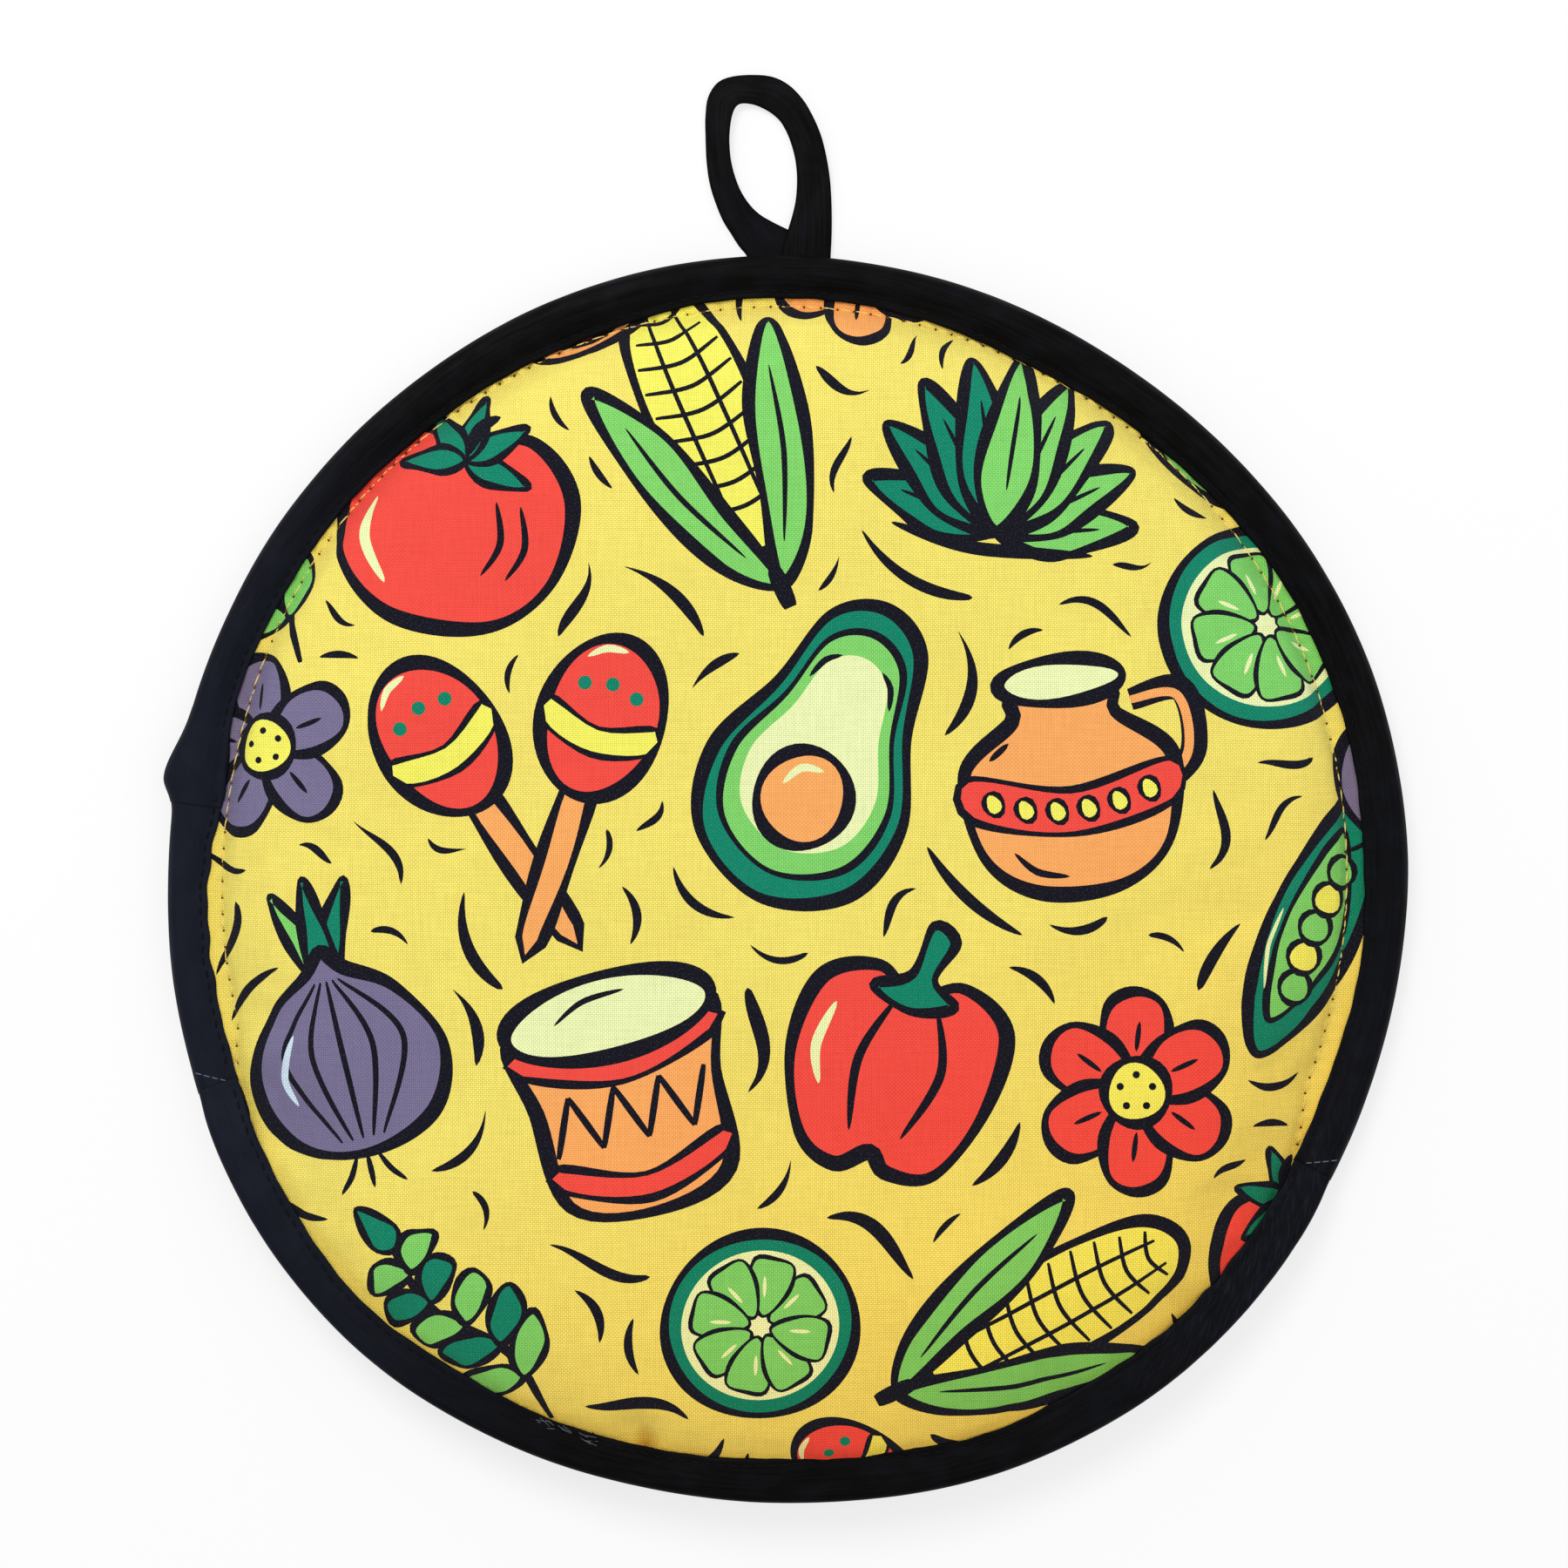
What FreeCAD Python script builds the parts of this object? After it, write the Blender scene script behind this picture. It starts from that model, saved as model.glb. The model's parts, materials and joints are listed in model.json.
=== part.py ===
import FreeCAD
import Part
import math
import os

# Round insulated tortilla pouch, lying on its back. Millimetres and degrees.
# The origin is the middle of the back face, +Z points to the front and +Y to the hanging loop.

# ---- the whole pouch
pouch_diameter = 304.8        # over the binding, a 12 in pouch
mouth_angle = 132.0           # arc of the edge that is left open, between the bar tacks
mouth_turn = -4.4             # how far the middle of the mouth lies round from -Y
mouth_gape = 7.0              # how far the front lip stands off the back lip at its middle
pocket_height = 10.0          # room between the two linings at the middle

# ---- cloth, lining and padding
cloth = 0.5                   # printed outer cloth
lining = 0.4                  # plain inner cloth
front_loft = 5.0              # padding of the front panel where it is full
pinched_padding = 1.2         # padding where stitching and binding squeeze it
seam_strip = 4.5              # flat strip between the closed seam and the binding

# ---- the rounded forms of the panels
shoulder_run = 21.0           # width over which the front turns down to its edge
lining_inset = 5.0            # the lining is down this much inside the outer cloth
lining_step = 7.0             # and starts to turn this much outside where the outer cloth does
back_run = 8.0                # width over which the back turns up to its edge
turn_facets = 3               # straight steps in each turn of the outer cloth
lining_facets = 1             # and of the lining
back_facets = 1               # and of the back

# ---- bias tape round the edge
binding_width = 11.0
tape_ply = 0.35               # one ply of the tape; each side of the edge has two
edge_puff = 0.6               # how much fuller the roll is where it holds both panels
lip_puff = 0.2                # and where it holds one
nose_facets = 4               # straight steps round the outer edge of the roll
lap_length = 14.0             # the folded end lapped over the start of the tape
lap_angle = 171.0             # where that lap lies, round from +X

# ---- threads and bar tacks
thread_width = 0.6
thread_height = 0.3
tack_width = 1.7
tack_height = 0.5

# ---- hanging loop of flat tape, measured from the top of the pouch
loop_height = 44.5
loop_left = 20.5              # reach to the left of the middle
loop_right = 10.9
loop_foot = 10.7              # half the width of its two feet
loop_tape_thickness = 1.6
loop_tape_left = 6.2          # width that the tape shows on its left side
loop_tape_right = 9.0
loop_tape_top = 7.2
loop_crotch = 7.0             # height where the two legs meet
foot_width = 8.0              # each tape end behind the binding
foot_length = 12.5

# ---- clearances
table_gap = 0.2               # under the loop's ends
root_fit = 0.2                # between the loop's ends and the binding
hinge_gap = 0.4               # between the loop's free part and the edge
fold_gap = 0.4                # at the fold of the mouth
lip_gap = 0.3                 # between the two lips at the bar tacks
corner_gap = 0.3              # between a bar tack and the fold, along the edge

# ---- heights and radii that follow
radius = pouch_diameter / 2
stack = cloth + pinched_padding + lining
edge_tape = 2 * tape_ply + edge_puff
lip_tape = 2 * tape_ply + lip_puff
edge_under = table_gap + loop_tape_thickness + root_fit
seam_z = edge_under + edge_tape + stack
lip_z = seam_z + 2 * lip_tape + lip_gap
top_z = seam_z + pocket_height + lining + front_loft + cloth
rim_radius = radius - edge_tape
strip_radius = radius - binding_width
seam_radius = strip_radius - seam_strip
fold_distance = radius * math.cos(math.radians(mouth_angle / 2))
gape_angle = math.degrees(math.asin(mouth_gape / (radius - fold_distance)))
fold_z = top_z
loop_axis_y = radius + hinge_gap + loop_tape_thickness / 2
loop_axis_z = table_gap + loop_tape_thickness / 2
reach = 2 * pouch_diameter    # larger than anything that it cuts

UP = FreeCAD.Vector(0, 0, 1)
CENTRE = FreeCAD.Vector(0, 0, 0)


# ---- section lines: lists of (radius, height), from the middle of the pouch outwards

def soft_turn(inner, outer, run, facets):
    """An S-shaped turn between two levels, in a few steps, that starts run inside its outer end."""
    r, z = outer
    drop = inner - z
    shares = [i / facets for i in range(facets)]
    return [(r - run * (1 - s), inner - drop * (1 - math.cos(math.pi * s)) / 2) for s in shares]


def panel_line(top, turn, edge, flange):
    """A front panel's surface: level middle, soft turn down, and flat flange out to the rim."""
    return [(0, top)] + turn + [(edge, flange), (rim_radius, flange)]


def offset_line(line, depth):
    """The line that lies at an even depth under another, with mitred corners."""
    slopes = [math.atan2(b[1] - a[1], b[0] - a[0]) for a, b in zip(line, line[1:])]
    before = slopes[:1] + slopes
    after = slopes + slopes[-1:]
    moved = []
    for (r, z), s, t in zip(line, before, after):
        middle = (s + t) / 2
        size = depth / math.cos((t - s) / 2)
        moved.append((r + size * math.sin(middle), z - size * math.cos(middle)))
    return [(0, moved[0][1])] + moved[1:-1] + [(line[-1][0], moved[-1][1])]


def flipped(line):
    """The line turned upside down."""
    return [(r, -z) for r, z in line]


# ---- solids made from sections

def spun(section, angle=360.0, start=0.0):
    """A closed section of (radius, height) points, turned about the upright axis."""
    corners = [FreeCAD.Vector(r, 0, z) for r, z in section]
    face = Part.Face(Part.makePolygon(corners + corners[:1]))
    solid = face.revolve(CENTRE, UP, angle)
    if solid.Volume < 0:
        solid.reverse()
    solid.rotate(CENTRE, UP, start)
    return solid


def layer(upper, lower):
    """The layer of cloth or padding between two section lines."""
    return spun(upper + lower[::-1])


def closed_side(shape):
    """The part of a ring or panel on the loop's side of the fold, with its start line cut away."""
    turned = shape.copy()
    turned.rotate(CENTRE, UP, 270.0 + mouth_turn)
    return turned.common(side_of_fold(-fold_distance))


def mouth_side(shape, gap=0.0):
    """The part beyond the fold, between the bar tacks."""
    return shape.common(side_of_fold(-fold_distance - gap - reach))


def side_of_fold(low_y):
    """A large block whose near side is parallel to the fold, from low_y on in the fold's frame."""
    box = Part.makeBox(2 * reach, reach, 2 * reach)
    box.translate(FreeCAD.Vector(-reach, low_y, -reach))
    box.rotate(CENTRE, UP, mouth_turn)
    return box


def in_fold_frame(x, y, z):
    """A point or direction given with -Y towards the middle of the mouth."""
    return FreeCAD.Rotation(UP, mouth_turn).multVec(FreeCAD.Vector(x, y, z))


def lifted(shape):
    """A piece of the flap as it lies at rest, with its lip raised off the back lip."""
    opened = shape.copy()
    opened.rotate(in_fold_frame(0, -fold_distance, fold_z), in_fold_frame(-1, 0, 0), gape_angle)
    return opened


# ---- padded panels

def front_panel(flange, edge):
    """Cloth, padding and lining of the front, down to a flange height at an edge radius."""
    high, low = flange + stack, flange + lining
    outer_turn = soft_turn(top_z, (edge, high), shoulder_run, turn_facets)
    outside = panel_line(top_z, outer_turn, edge, high)
    under = top_z - cloth - front_loft
    inner_edge = edge - lining_inset
    inner_turn = soft_turn(under, (inner_edge, low), shoulder_run - lining_inset - lining_step, lining_facets)
    inside = panel_line(under, inner_turn, inner_edge, low)
    below_cloth = offset_line(outside, cloth)
    below_lining = offset_line(inside, lining)
    return layer(outside, below_cloth), layer(below_cloth, inside), layer(inside, below_lining)


def back_panel():
    """The back: its outer cloth lies flat on the table and its lining is flat on top."""
    flange = stack - seam_z
    under = [(0, 0)] + soft_turn(0, (seam_radius, flange), back_run, back_facets)
    under += [(seam_radius, flange), (rim_radius, flange)]
    outside = flipped(under)
    above_cloth = flipped(offset_line(under, cloth))
    below_lining, top = [[(0, z), (rim_radius, z)] for z in (seam_z - lining, seam_z)]
    return layer(above_cloth, outside), layer(below_lining, above_cloth), layer(top, below_lining)


# ---- bias tape and the threads on it

class Binding:
    """Tape rolled round the edge of a stack of cloth whose middle is at a given height."""

    def __init__(self, middle, held, tape):
        self.middle = middle
        self.held = held
        self.half = held / 2 + tape
        self.crest = radius - self.half

    def outline(self, proud=0.0):
        """From the front fold of the tape, over its crest and round its nose, to its back fold."""
        fold = self.held / 2 + 2 * tape_ply + proud
        turns = [math.pi * i / nose_facets for i in range(nose_facets + 1)]
        size = self.half + proud
        nose = [(self.crest + size * math.sin(a), self.middle + size * math.cos(a)) for a in turns]
        return [(strip_radius, self.middle + fold)] + nose + [(strip_radius, self.middle - fold)]

    def section(self):
        """The closed section of the roll, with the slot that holds the edge of the cloth."""
        slot = [(r, self.middle + side * self.held / 2)
                for r, side in ((strip_radius, -1), (rim_radius, -1), (rim_radius, 1), (strip_radius, 1))]
        return self.outline() + slot

    def wrapped(self, proud, angle, start):
        """A second thickness laid over the whole roll along a short arc."""
        return spun(self.outline() + self.outline(proud)[::-1], angle, start)

    def over_front(self, proud, angle, start):
        """A bead across the front of the roll, from the fold of the tape to its crest."""
        return spun(self.outline()[:2] + self.outline(proud)[1::-1], angle, start)


def seam_thread(height):
    """The line of the closed seam, a low three-sided bead on the strip where the panel rises."""
    side, middle = seam_radius + thread_width, seam_radius + thread_width / 2
    return spun([(seam_radius, height), (side, height), (middle, height + thread_height)])


def bar_tack(roll, side):
    """A short dense bar of thread across the binding, on the closed side of the fold."""
    width, gap = [math.degrees(size / radius) for size in (tack_width, corner_gap)]
    middle = 270.0 + mouth_turn + side * (mouth_angle / 2 + gap + width / 2)
    return roll.over_front(tack_height, width, middle - width / 2)


# ---- hanging loop

def plan_point(x, y):
    return FreeCAD.Vector(x, radius + y, 0)


def plan_arcs(points):
    """Arcs in plan, each through three of the points: its start, a middle point and its end."""
    places = [plan_point(x, y) for x, y in points]
    return [Part.Arc(*places[i:i + 3]).toShape() for i in range(0, len(places) - 2, 2)]


def loop_outline():
    """The outer edge of the loop, seen from the front: it leans left and has a flat crown."""
    left, right, top = loop_left, loop_right, loop_height
    root = loop_axis_y - radius
    side = plan_arcs([
        (-loop_foot, root),
        (-0.91 * left, 0.31 * top),
        (-left, 0.7 * top),
        (-0.9 * left, 0.92 * top),
        (-0.6 * left, top),
        (0.0, 0.95 * top),
        (0.7 * right, 0.69 * top),
        (0.98 * right, 0.35 * top),
        (loop_foot, root),
    ])
    foot = Part.makeLine(plan_point(loop_foot, root), plan_point(-loop_foot, root))
    return Part.Face(Part.Wire(side + [foot]))


def loop_eye():
    """The opening of the loop, a leaning drop whose point is where the legs meet."""
    left, right = loop_left - loop_tape_left, loop_right - loop_tape_right
    top = loop_height - loop_tape_top
    rise = top - loop_crotch
    return Part.Face(Part.Wire(plan_arcs([
        (0.0, loop_crotch),
        (-0.72 * left, loop_crotch + 0.24 * rise),
        (-left, loop_crotch + 0.72 * rise),
        (-0.93 * left, loop_crotch + 0.92 * rise),
        (-0.68 * left, top),
        (0.1 * right, loop_crotch + 0.77 * rise),
        (right, loop_crotch + 0.4 * rise),
        (0.6 * right, loop_crotch + 0.15 * rise),
        (0.0, loop_crotch),
    ])))


def raised(face, low, thickness):
    """A flat outline made into a sheet that starts at height low."""
    sheet = face.extrude(FreeCAD.Vector(0, 0, thickness))
    sheet.translate(FreeCAD.Vector(0, 0, low))
    return sheet


def hanging_loop():
    """The free part of the tape loop, with its root rounded about the line that it swings on."""
    plate = raised(loop_outline().cut(loop_eye()), table_gap, loop_tape_thickness)
    start = FreeCAD.Vector(-loop_foot, loop_axis_y, loop_axis_z)
    root = Part.makeCylinder(loop_tape_thickness / 2, 2 * loop_foot, start, FreeCAD.Vector(1, 0, 0))
    return plate.fuse(root).removeSplitter()


def loop_tails():
    """The two tape ends that are sewn flat behind the binding."""
    edge = Part.makeCylinder(radius, reach, FreeCAD.Vector(0, 0, -radius))
    tails = []
    for left in (-loop_foot, loop_foot - foot_width):
        corner = FreeCAD.Vector(left, radius - foot_length, table_gap)
        tails.append(Part.makeBox(foot_width, foot_length, loop_tape_thickness, corner).common(edge))
    return Part.Compound(tails)


# ---- the pieces, by name

def pouch_nodes():
    """Everything that stays with the back panel."""
    edge_roll = Binding(seam_z, 2 * stack, edge_tape)
    lip_roll = Binding(seam_z - stack / 2, stack, lip_tape)
    lap = math.degrees(lap_length / radius)
    back_outer, back_padding, back_lining = back_panel()
    front_outer, front_padding, front_lining = front_panel(seam_z, seam_radius)
    left_tack, right_tack = [bar_tack(edge_roll, side) for side in (-1, 1)]
    end_lap = edge_roll.wrapped(2 * tape_ply, lap, lap_angle - lap / 2)
    return {
        "back_outer_fabric": back_outer,
        "back_padding": back_padding,
        "back_lining": back_lining,
        "front_outer_fabric": closed_side(front_outer),
        "front_padding": closed_side(front_padding),
        "front_lining": closed_side(front_lining),
        "edge_binding": closed_side(spun(edge_roll.section())),
        "binding_end_lap": end_lap,
        "back_lip_binding": mouth_side(spun(lip_roll.section())),
        "left_bar_tack": left_tack,
        "right_bar_tack": right_tack,
        "front_seam_thread": closed_side(seam_thread(seam_z + stack)),
        "loop_tails": loop_tails(),
    }


def flap_nodes():
    """The front beyond the fold, which lifts to open the pocket."""
    roll = Binding(lip_z + stack / 2, stack, lip_tape)
    outer, padding, inner = front_panel(lip_z, strip_radius)
    shapes = {
        "flap_outer_fabric": outer,
        "flap_padding": padding,
        "flap_lining": inner,
        "front_lip_binding": spun(roll.section()),
    }
    return {name: lifted(mouth_side(shape, fold_gap)) for name, shape in shapes.items()}


os.makedirs("parts", exist_ok=True)
for name, shape in {**pouch_nodes(), **flap_nodes(), "hanging_loop": hanging_loop()}.items():
    shape.exportStep("parts/" + name + ".step")
    print(name, len(shape.Solids), "solids", round(shape.Volume, 1), "mm3", shape.isValid())
print("mouth hinge", in_fold_frame(0, -fold_distance, fold_z), in_fold_frame(-1, 0, 0), gape_angle)
print("loop hinge", loop_axis_y, loop_axis_z, "seam", seam_z, "lip", lip_z, "top", top_z)
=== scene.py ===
import json
import math
import random

import bmesh
import bpy
import numpy as np
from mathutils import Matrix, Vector, noise
from mathutils.bvhtree import BVHTree
from mathutils.geometry import delaunay_2d_cdt


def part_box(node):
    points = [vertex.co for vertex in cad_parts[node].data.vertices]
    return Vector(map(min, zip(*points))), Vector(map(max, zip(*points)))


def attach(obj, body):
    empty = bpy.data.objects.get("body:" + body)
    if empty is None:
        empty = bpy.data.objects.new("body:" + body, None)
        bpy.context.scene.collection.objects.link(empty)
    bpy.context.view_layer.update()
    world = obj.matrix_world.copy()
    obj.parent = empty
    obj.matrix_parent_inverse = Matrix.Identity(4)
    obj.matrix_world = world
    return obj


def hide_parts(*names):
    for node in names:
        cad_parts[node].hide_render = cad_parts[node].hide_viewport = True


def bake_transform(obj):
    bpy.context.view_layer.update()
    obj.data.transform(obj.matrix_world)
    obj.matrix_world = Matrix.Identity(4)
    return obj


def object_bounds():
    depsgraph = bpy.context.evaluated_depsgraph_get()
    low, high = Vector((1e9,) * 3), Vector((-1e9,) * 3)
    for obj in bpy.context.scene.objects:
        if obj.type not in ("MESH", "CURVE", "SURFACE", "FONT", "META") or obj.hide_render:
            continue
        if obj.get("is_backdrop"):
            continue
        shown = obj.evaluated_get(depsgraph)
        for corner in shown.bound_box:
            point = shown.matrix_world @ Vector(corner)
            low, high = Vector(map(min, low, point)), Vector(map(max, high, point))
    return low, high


# The looks of a round padded tortilla pouch: printed cloth, bias tape, stitches and a tape loop.
# Sizes are in millimetres and become metres when a mesh is made. Angles go round from +X, in degrees.

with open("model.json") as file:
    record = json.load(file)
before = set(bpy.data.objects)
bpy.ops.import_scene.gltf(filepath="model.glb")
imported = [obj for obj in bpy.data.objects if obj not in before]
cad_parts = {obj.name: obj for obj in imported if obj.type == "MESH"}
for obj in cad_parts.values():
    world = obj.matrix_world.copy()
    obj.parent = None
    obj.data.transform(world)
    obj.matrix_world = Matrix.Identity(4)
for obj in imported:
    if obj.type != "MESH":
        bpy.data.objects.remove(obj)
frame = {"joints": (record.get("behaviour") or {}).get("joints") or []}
cad_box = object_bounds()
MM = 0.001
joints = {joint["name"]: joint for joint in frame["joints"]}


def box_mm(node):
    return [np.array(corner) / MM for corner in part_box(node)]


# ---- sizes of the frame
edge_low, edge_high = box_mm("edge_binding")
radius = edge_high[0]
seam_z = (edge_low[2] + edge_high[2]) / 2          # where the two panels meet at the edge
edge_half = (edge_high[2] - edge_low[2]) / 2
lip_low, lip_high = box_mm("back_lip_binding")
lip_half = (lip_high[2] - lip_low[2]) / 2
back_mid = (lip_high[2] + lip_low[2]) / 2
stack = 2 * (seam_z - back_mid)                    # outer cloth, pinched padding and lining
lip_gap = 0.3                                      # between the two lips at the bar tacks
front_lip_mid = back_mid + 2 * lip_half + lip_gap
seam_half = 0.3                                    # half the width of the seam's thread
seam_radius = box_mm("front_seam_thread")[1][0] - seam_half
top_z = box_mm("front_outer_fabric")[1][2]
ceiling_z = box_mm("front_lining")[1][2]           # under the padding of the front
floor_z = box_mm("back_padding")[1][2]             # on top of the padding of the back
hinge = np.array(joints["mouth_open"]["pos_m"]) / MM
fold_distance = math.hypot(hinge[0], hinge[1])
beyond = np.array([hinge[0], hinge[1], 0.0]) / fold_distance
fold_along = np.array([beyond[1], -beyond[0], 0.0])
loop_hinge = np.array(joints["loop_swing"]["pos_m"]) / MM
first = math.degrees(math.atan2(beyond[1], beyond[0]))              # angle of the middle of the mouth
half_mouth = math.degrees(math.acos(fold_distance / radius))
half_closed = 180 - half_mouth

# ---- sizes of the looks
rim = 146.0                 # how far the panels reach into the tape
mouth_gape = 7.0
fold_lead = 15.0            # how far before the fold's line the cloth begins to bend
free_reach = 16.0           # how far beyond the fold the lips are held by the bar tacks
front_run = 32.0            # width over which the front cloth rises from its edge
under_run = 14.0            # and over which the back and the undersides do
squeeze = 0.65              # how much the tape squeezes each face of the closed edge
edge_dip = squeeze + 0.1    # how much lower the cloth is there
lining_gap = 0.08
lining_thick = 0.3
held_radius = 143.0         # of the cloth that is simulated
swell_cap = 2.6             # how far the filling lets the simulated cloth leave its pattern
swell_frames = 22
yarn = 0.47                 # pitch of the printed cloth's weave

tape_show = 10.6            # width of the tape on the front
tape_plies = 0.7
tape_reach = 14.0           # from the edge to either fold, along the tape
tape_points = 44
tape_step = 0.42            # degrees from one section of the tape to the next
lap_start, lap_end = 163.6, 172.7

stitch_pitch = 4.0
edge_stitch_pitch = 3.1
edge_stitch_inset = 1.7
edge_stitch_ring = radius - 9
thread_radius = 0.19
thread_sides = 6
tack_length = 7.2           # reach of a bar tack from the edge inwards
tack_pitch, tack_run = 1.95, 1.8

accent_pitch = 7.5
accent_lengths = (31.0, 25.0, 19.0, 14.0, 9.5)

# Lobes round the outline, how far each kind stands out, and where its first lies.
edge_waves = ((3, 0.92, -23), (4, 0.72, 32), (5, 0.57, 13))
# Where the tape shows wider or narrower: angle, extra width and spread.
tape_swells = ((60, 2.0, 13), (120, 1.5, 13), (171, 1.6, 5), (225, -1.0, 16), (276, 1.8, 9))
# Small dents of the front cloth: place, depth and spread. The first is the deep one at the front lip.
puckers = (
    (-34.0, -137.2, 7.0, 2.6), (-36.0, -132.5, 2.6, 4.6), (119.0, -64.0, 1.4, 6.5), (-126.0, -50.0, 1.2, 5.5),
    (96.0, -103.0, 1.0, 6.0), (66.0, -122.0, 0.8, 6.0), (-92.0, -104.0, 0.8, 7.0),
)


# ---- small maths

def smooth(t):
    t = np.clip(t, 0.0, 1.0)
    return t * t * (3 - 2 * t)


def ramp(d, width):
    """0 before, d after, with a soft corner as wide as width on both sides."""
    return np.where(d < -width, 0.0, np.where(d > width, d, (d + width) ** 2 / (4 * width)))


def turn_to(angle, at):
    """The shortest turn in degrees between two angles."""
    return (angle - at + 180) % 360 - 180


def bump_at(angle, at, spread, power=2):
    """1 at one angle, and less on both sides of it."""
    return np.exp(-(turn_to(angle, at) / spread) ** power)


def on_circle(r, angle):
    a = math.radians(angle)
    return [r * math.cos(a), r * math.sin(a)]


def past_fold(x, y):
    """How far a point lies beyond the fold of the mouth."""
    return x * beyond[0] + y * beyond[1] - fold_distance


gape_slope = mouth_gape / (radius - fold_distance)


def lift(x, y):
    """How far the front is raised at rest, from the fold to the lip."""
    return gape_slope * ramp(past_fold(x, y), 8.0)


def puckered(x, y):
    """How deep the puckers draw the front in."""
    return sum(deep * np.exp(-((x - px) ** 2 + (y - py) ** 2) / spread ** 2)
               for px, py, deep, spread in puckers)


def mouth_share(x, y):
    """0 on the closed side of the edge and 1 on the lips."""
    return smooth((past_fold(x, y) + 5) / 20)


def lip_share(x, y):
    """0 up to the fold and 1 where the lip's tape stands free of the bar tacks."""
    return smooth(past_fold(x, y) / free_reach)


def hand_sewn(points):
    """Points of a truly round pouch, moved to the uneven outline of the real one."""
    points = np.array(points, float)
    x, y = points[:, 0], points[:, 1]
    angle = np.arctan2(y, x)
    share = np.clip(np.hypot(x, y) / radius, 0, 1.02) ** 3
    out = sum(size * np.cos(lobes * (angle - math.radians(at))) for lobes, size, at in edge_waves)
    points[:, :2] *= (1 + out * share / radius)[:, None]
    return points


def unevenness(points, seed):
    """Smooth noise from -1 to 1 at each point."""
    shift = Vector((seed * 7.3, seed * 3.1, seed * 5.7))
    return np.array([noise.noise(Vector(p) + shift) for p in points])


# ---- meshes

def put(name, data):
    """An object in the scene with this data."""
    made = bpy.data.objects.new(name, data)
    bpy.context.scene.collection.objects.link(made)
    return made


def evaluated(piece):
    return piece.evaluated_get(bpy.context.evaluated_depsgraph_get())


def make_piece(name, points, faces, materials, flat=None, face_materials=None, inks=None):
    """A mesh from points in mm. flat is where each point lies on its cloth, also in mm."""
    mesh = bpy.data.meshes.new(name)
    mesh.from_pydata([tuple(p) for p in np.array(points, float) * MM], [], [list(f) for f in faces])
    cloth = mesh.attributes.new("cloth", "FLOAT_VECTOR", "POINT")
    flat = np.array(points if flat is None else flat, np.float32)
    cloth.data.foreach_set("vector", flat.ravel())
    for material in materials:
        mesh.materials.append(material)
    if face_materials is not None:
        mesh.polygons.foreach_set("material_index", np.array(face_materials, np.int32))
    if inks is not None:
        colours = mesh.color_attributes.new("ink", "FLOAT_COLOR", "CORNER")
        sides = [len(f) for f in faces]
        colours.data.foreach_set("color", np.repeat(np.array(inks, np.float32), sides, axis=0).ravel())
    mesh.polygons.foreach_set("use_smooth", [True] * len(faces))
    mesh.validate()
    mesh.update()
    return put(name, mesh)


def closed_piece(name, points, faces, *looks):
    """A piece as make_piece makes it, with all of its faces turned outwards."""
    piece = make_piece(name, points, faces, *looks)
    work = bmesh.new()
    work.from_mesh(piece.data)
    bmesh.ops.recalc_face_normals(work, faces=work.faces)
    work.to_mesh(piece.data)
    work.free()
    return piece


def bend_at_fold(piece):
    """Bakes the place of a piece of the front into its mesh. The rise and the direction across the fold that
    it works out are not used, so nothing turns up.
    """
    rise = top_z - (seam_z + stack)
    across = np.array([0, 0, 1]) * fold_lead + beyond * rise
    across /= np.linalg.norm(across)
    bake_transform(piece)


def declare(piece, slot, *replaced, flap=False):
    """Sets the piece on the pouch's body, or with flap bakes its place into its mesh, and hides the solids
    that it stands for. What it is made of, the slot, is not used.
    """
    if flap:
        bend_at_fold(piece)
    else:
        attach(piece, "pouch")
    if replaced:
        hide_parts(*replaced)


def swept_faces(rows, sides):
    """Faces of a closed form made of rows of points, each a closed section with this many sides."""
    faces = []
    for i in range(rows - 1):
        for j in range(sides):
            a, b = i * sides + j, i * sides + (j + 1) % sides
            faces.append((a, b, b + sides, a + sides))
    faces.append(tuple(range(sides)))
    faces.append(tuple((rows - 1) * sides + j for j in range(sides))[::-1])
    return faces


def closed_tube(path, radii, sides):
    """Points and faces of a round tube along a path, closed at both ends."""
    tangents = np.gradient(path, axis=0)
    tangents /= np.linalg.norm(tangents, axis=1)[:, None]
    side = np.cross(tangents, (0.0, 0.0, 1.0))
    side /= np.maximum(np.linalg.norm(side, axis=1), 1e-9)[:, None]
    over = np.cross(side, tangents)
    turns = np.arange(sides) * 2 * math.pi / sides
    ring = side[:, None, :] * np.cos(turns)[None, :, None] + over[:, None, :] * np.sin(turns)[None, :, None]
    points = (path[:, None, :] + ring * np.array(radii)[:, None, None]).reshape(-1, 3)
    faces = swept_faces(len(path), sides)
    faces[-2:] = [end[::-1] for end in faces[-2:]]
    return points, faces


def joined(parts):
    """Several (points, faces) made into one."""
    points, faces, count = [], [], 0
    for p, f in parts:
        points.append(p)
        faces += [tuple(i + count for i in face) for face in f]
        count += len(p)
    return np.vstack(points), faces


# ---- materials

def linear(r, g, b):
    """A screen colour from 0 to 255 as the linear colour that a shader takes."""
    levels = [c / 255 for c in (r, g, b)]
    return tuple(c / 12.92 if c <= 0.04045 else ((c + 0.055) / 1.055) ** 2.4 for c in levels) + (1.0,)


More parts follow.
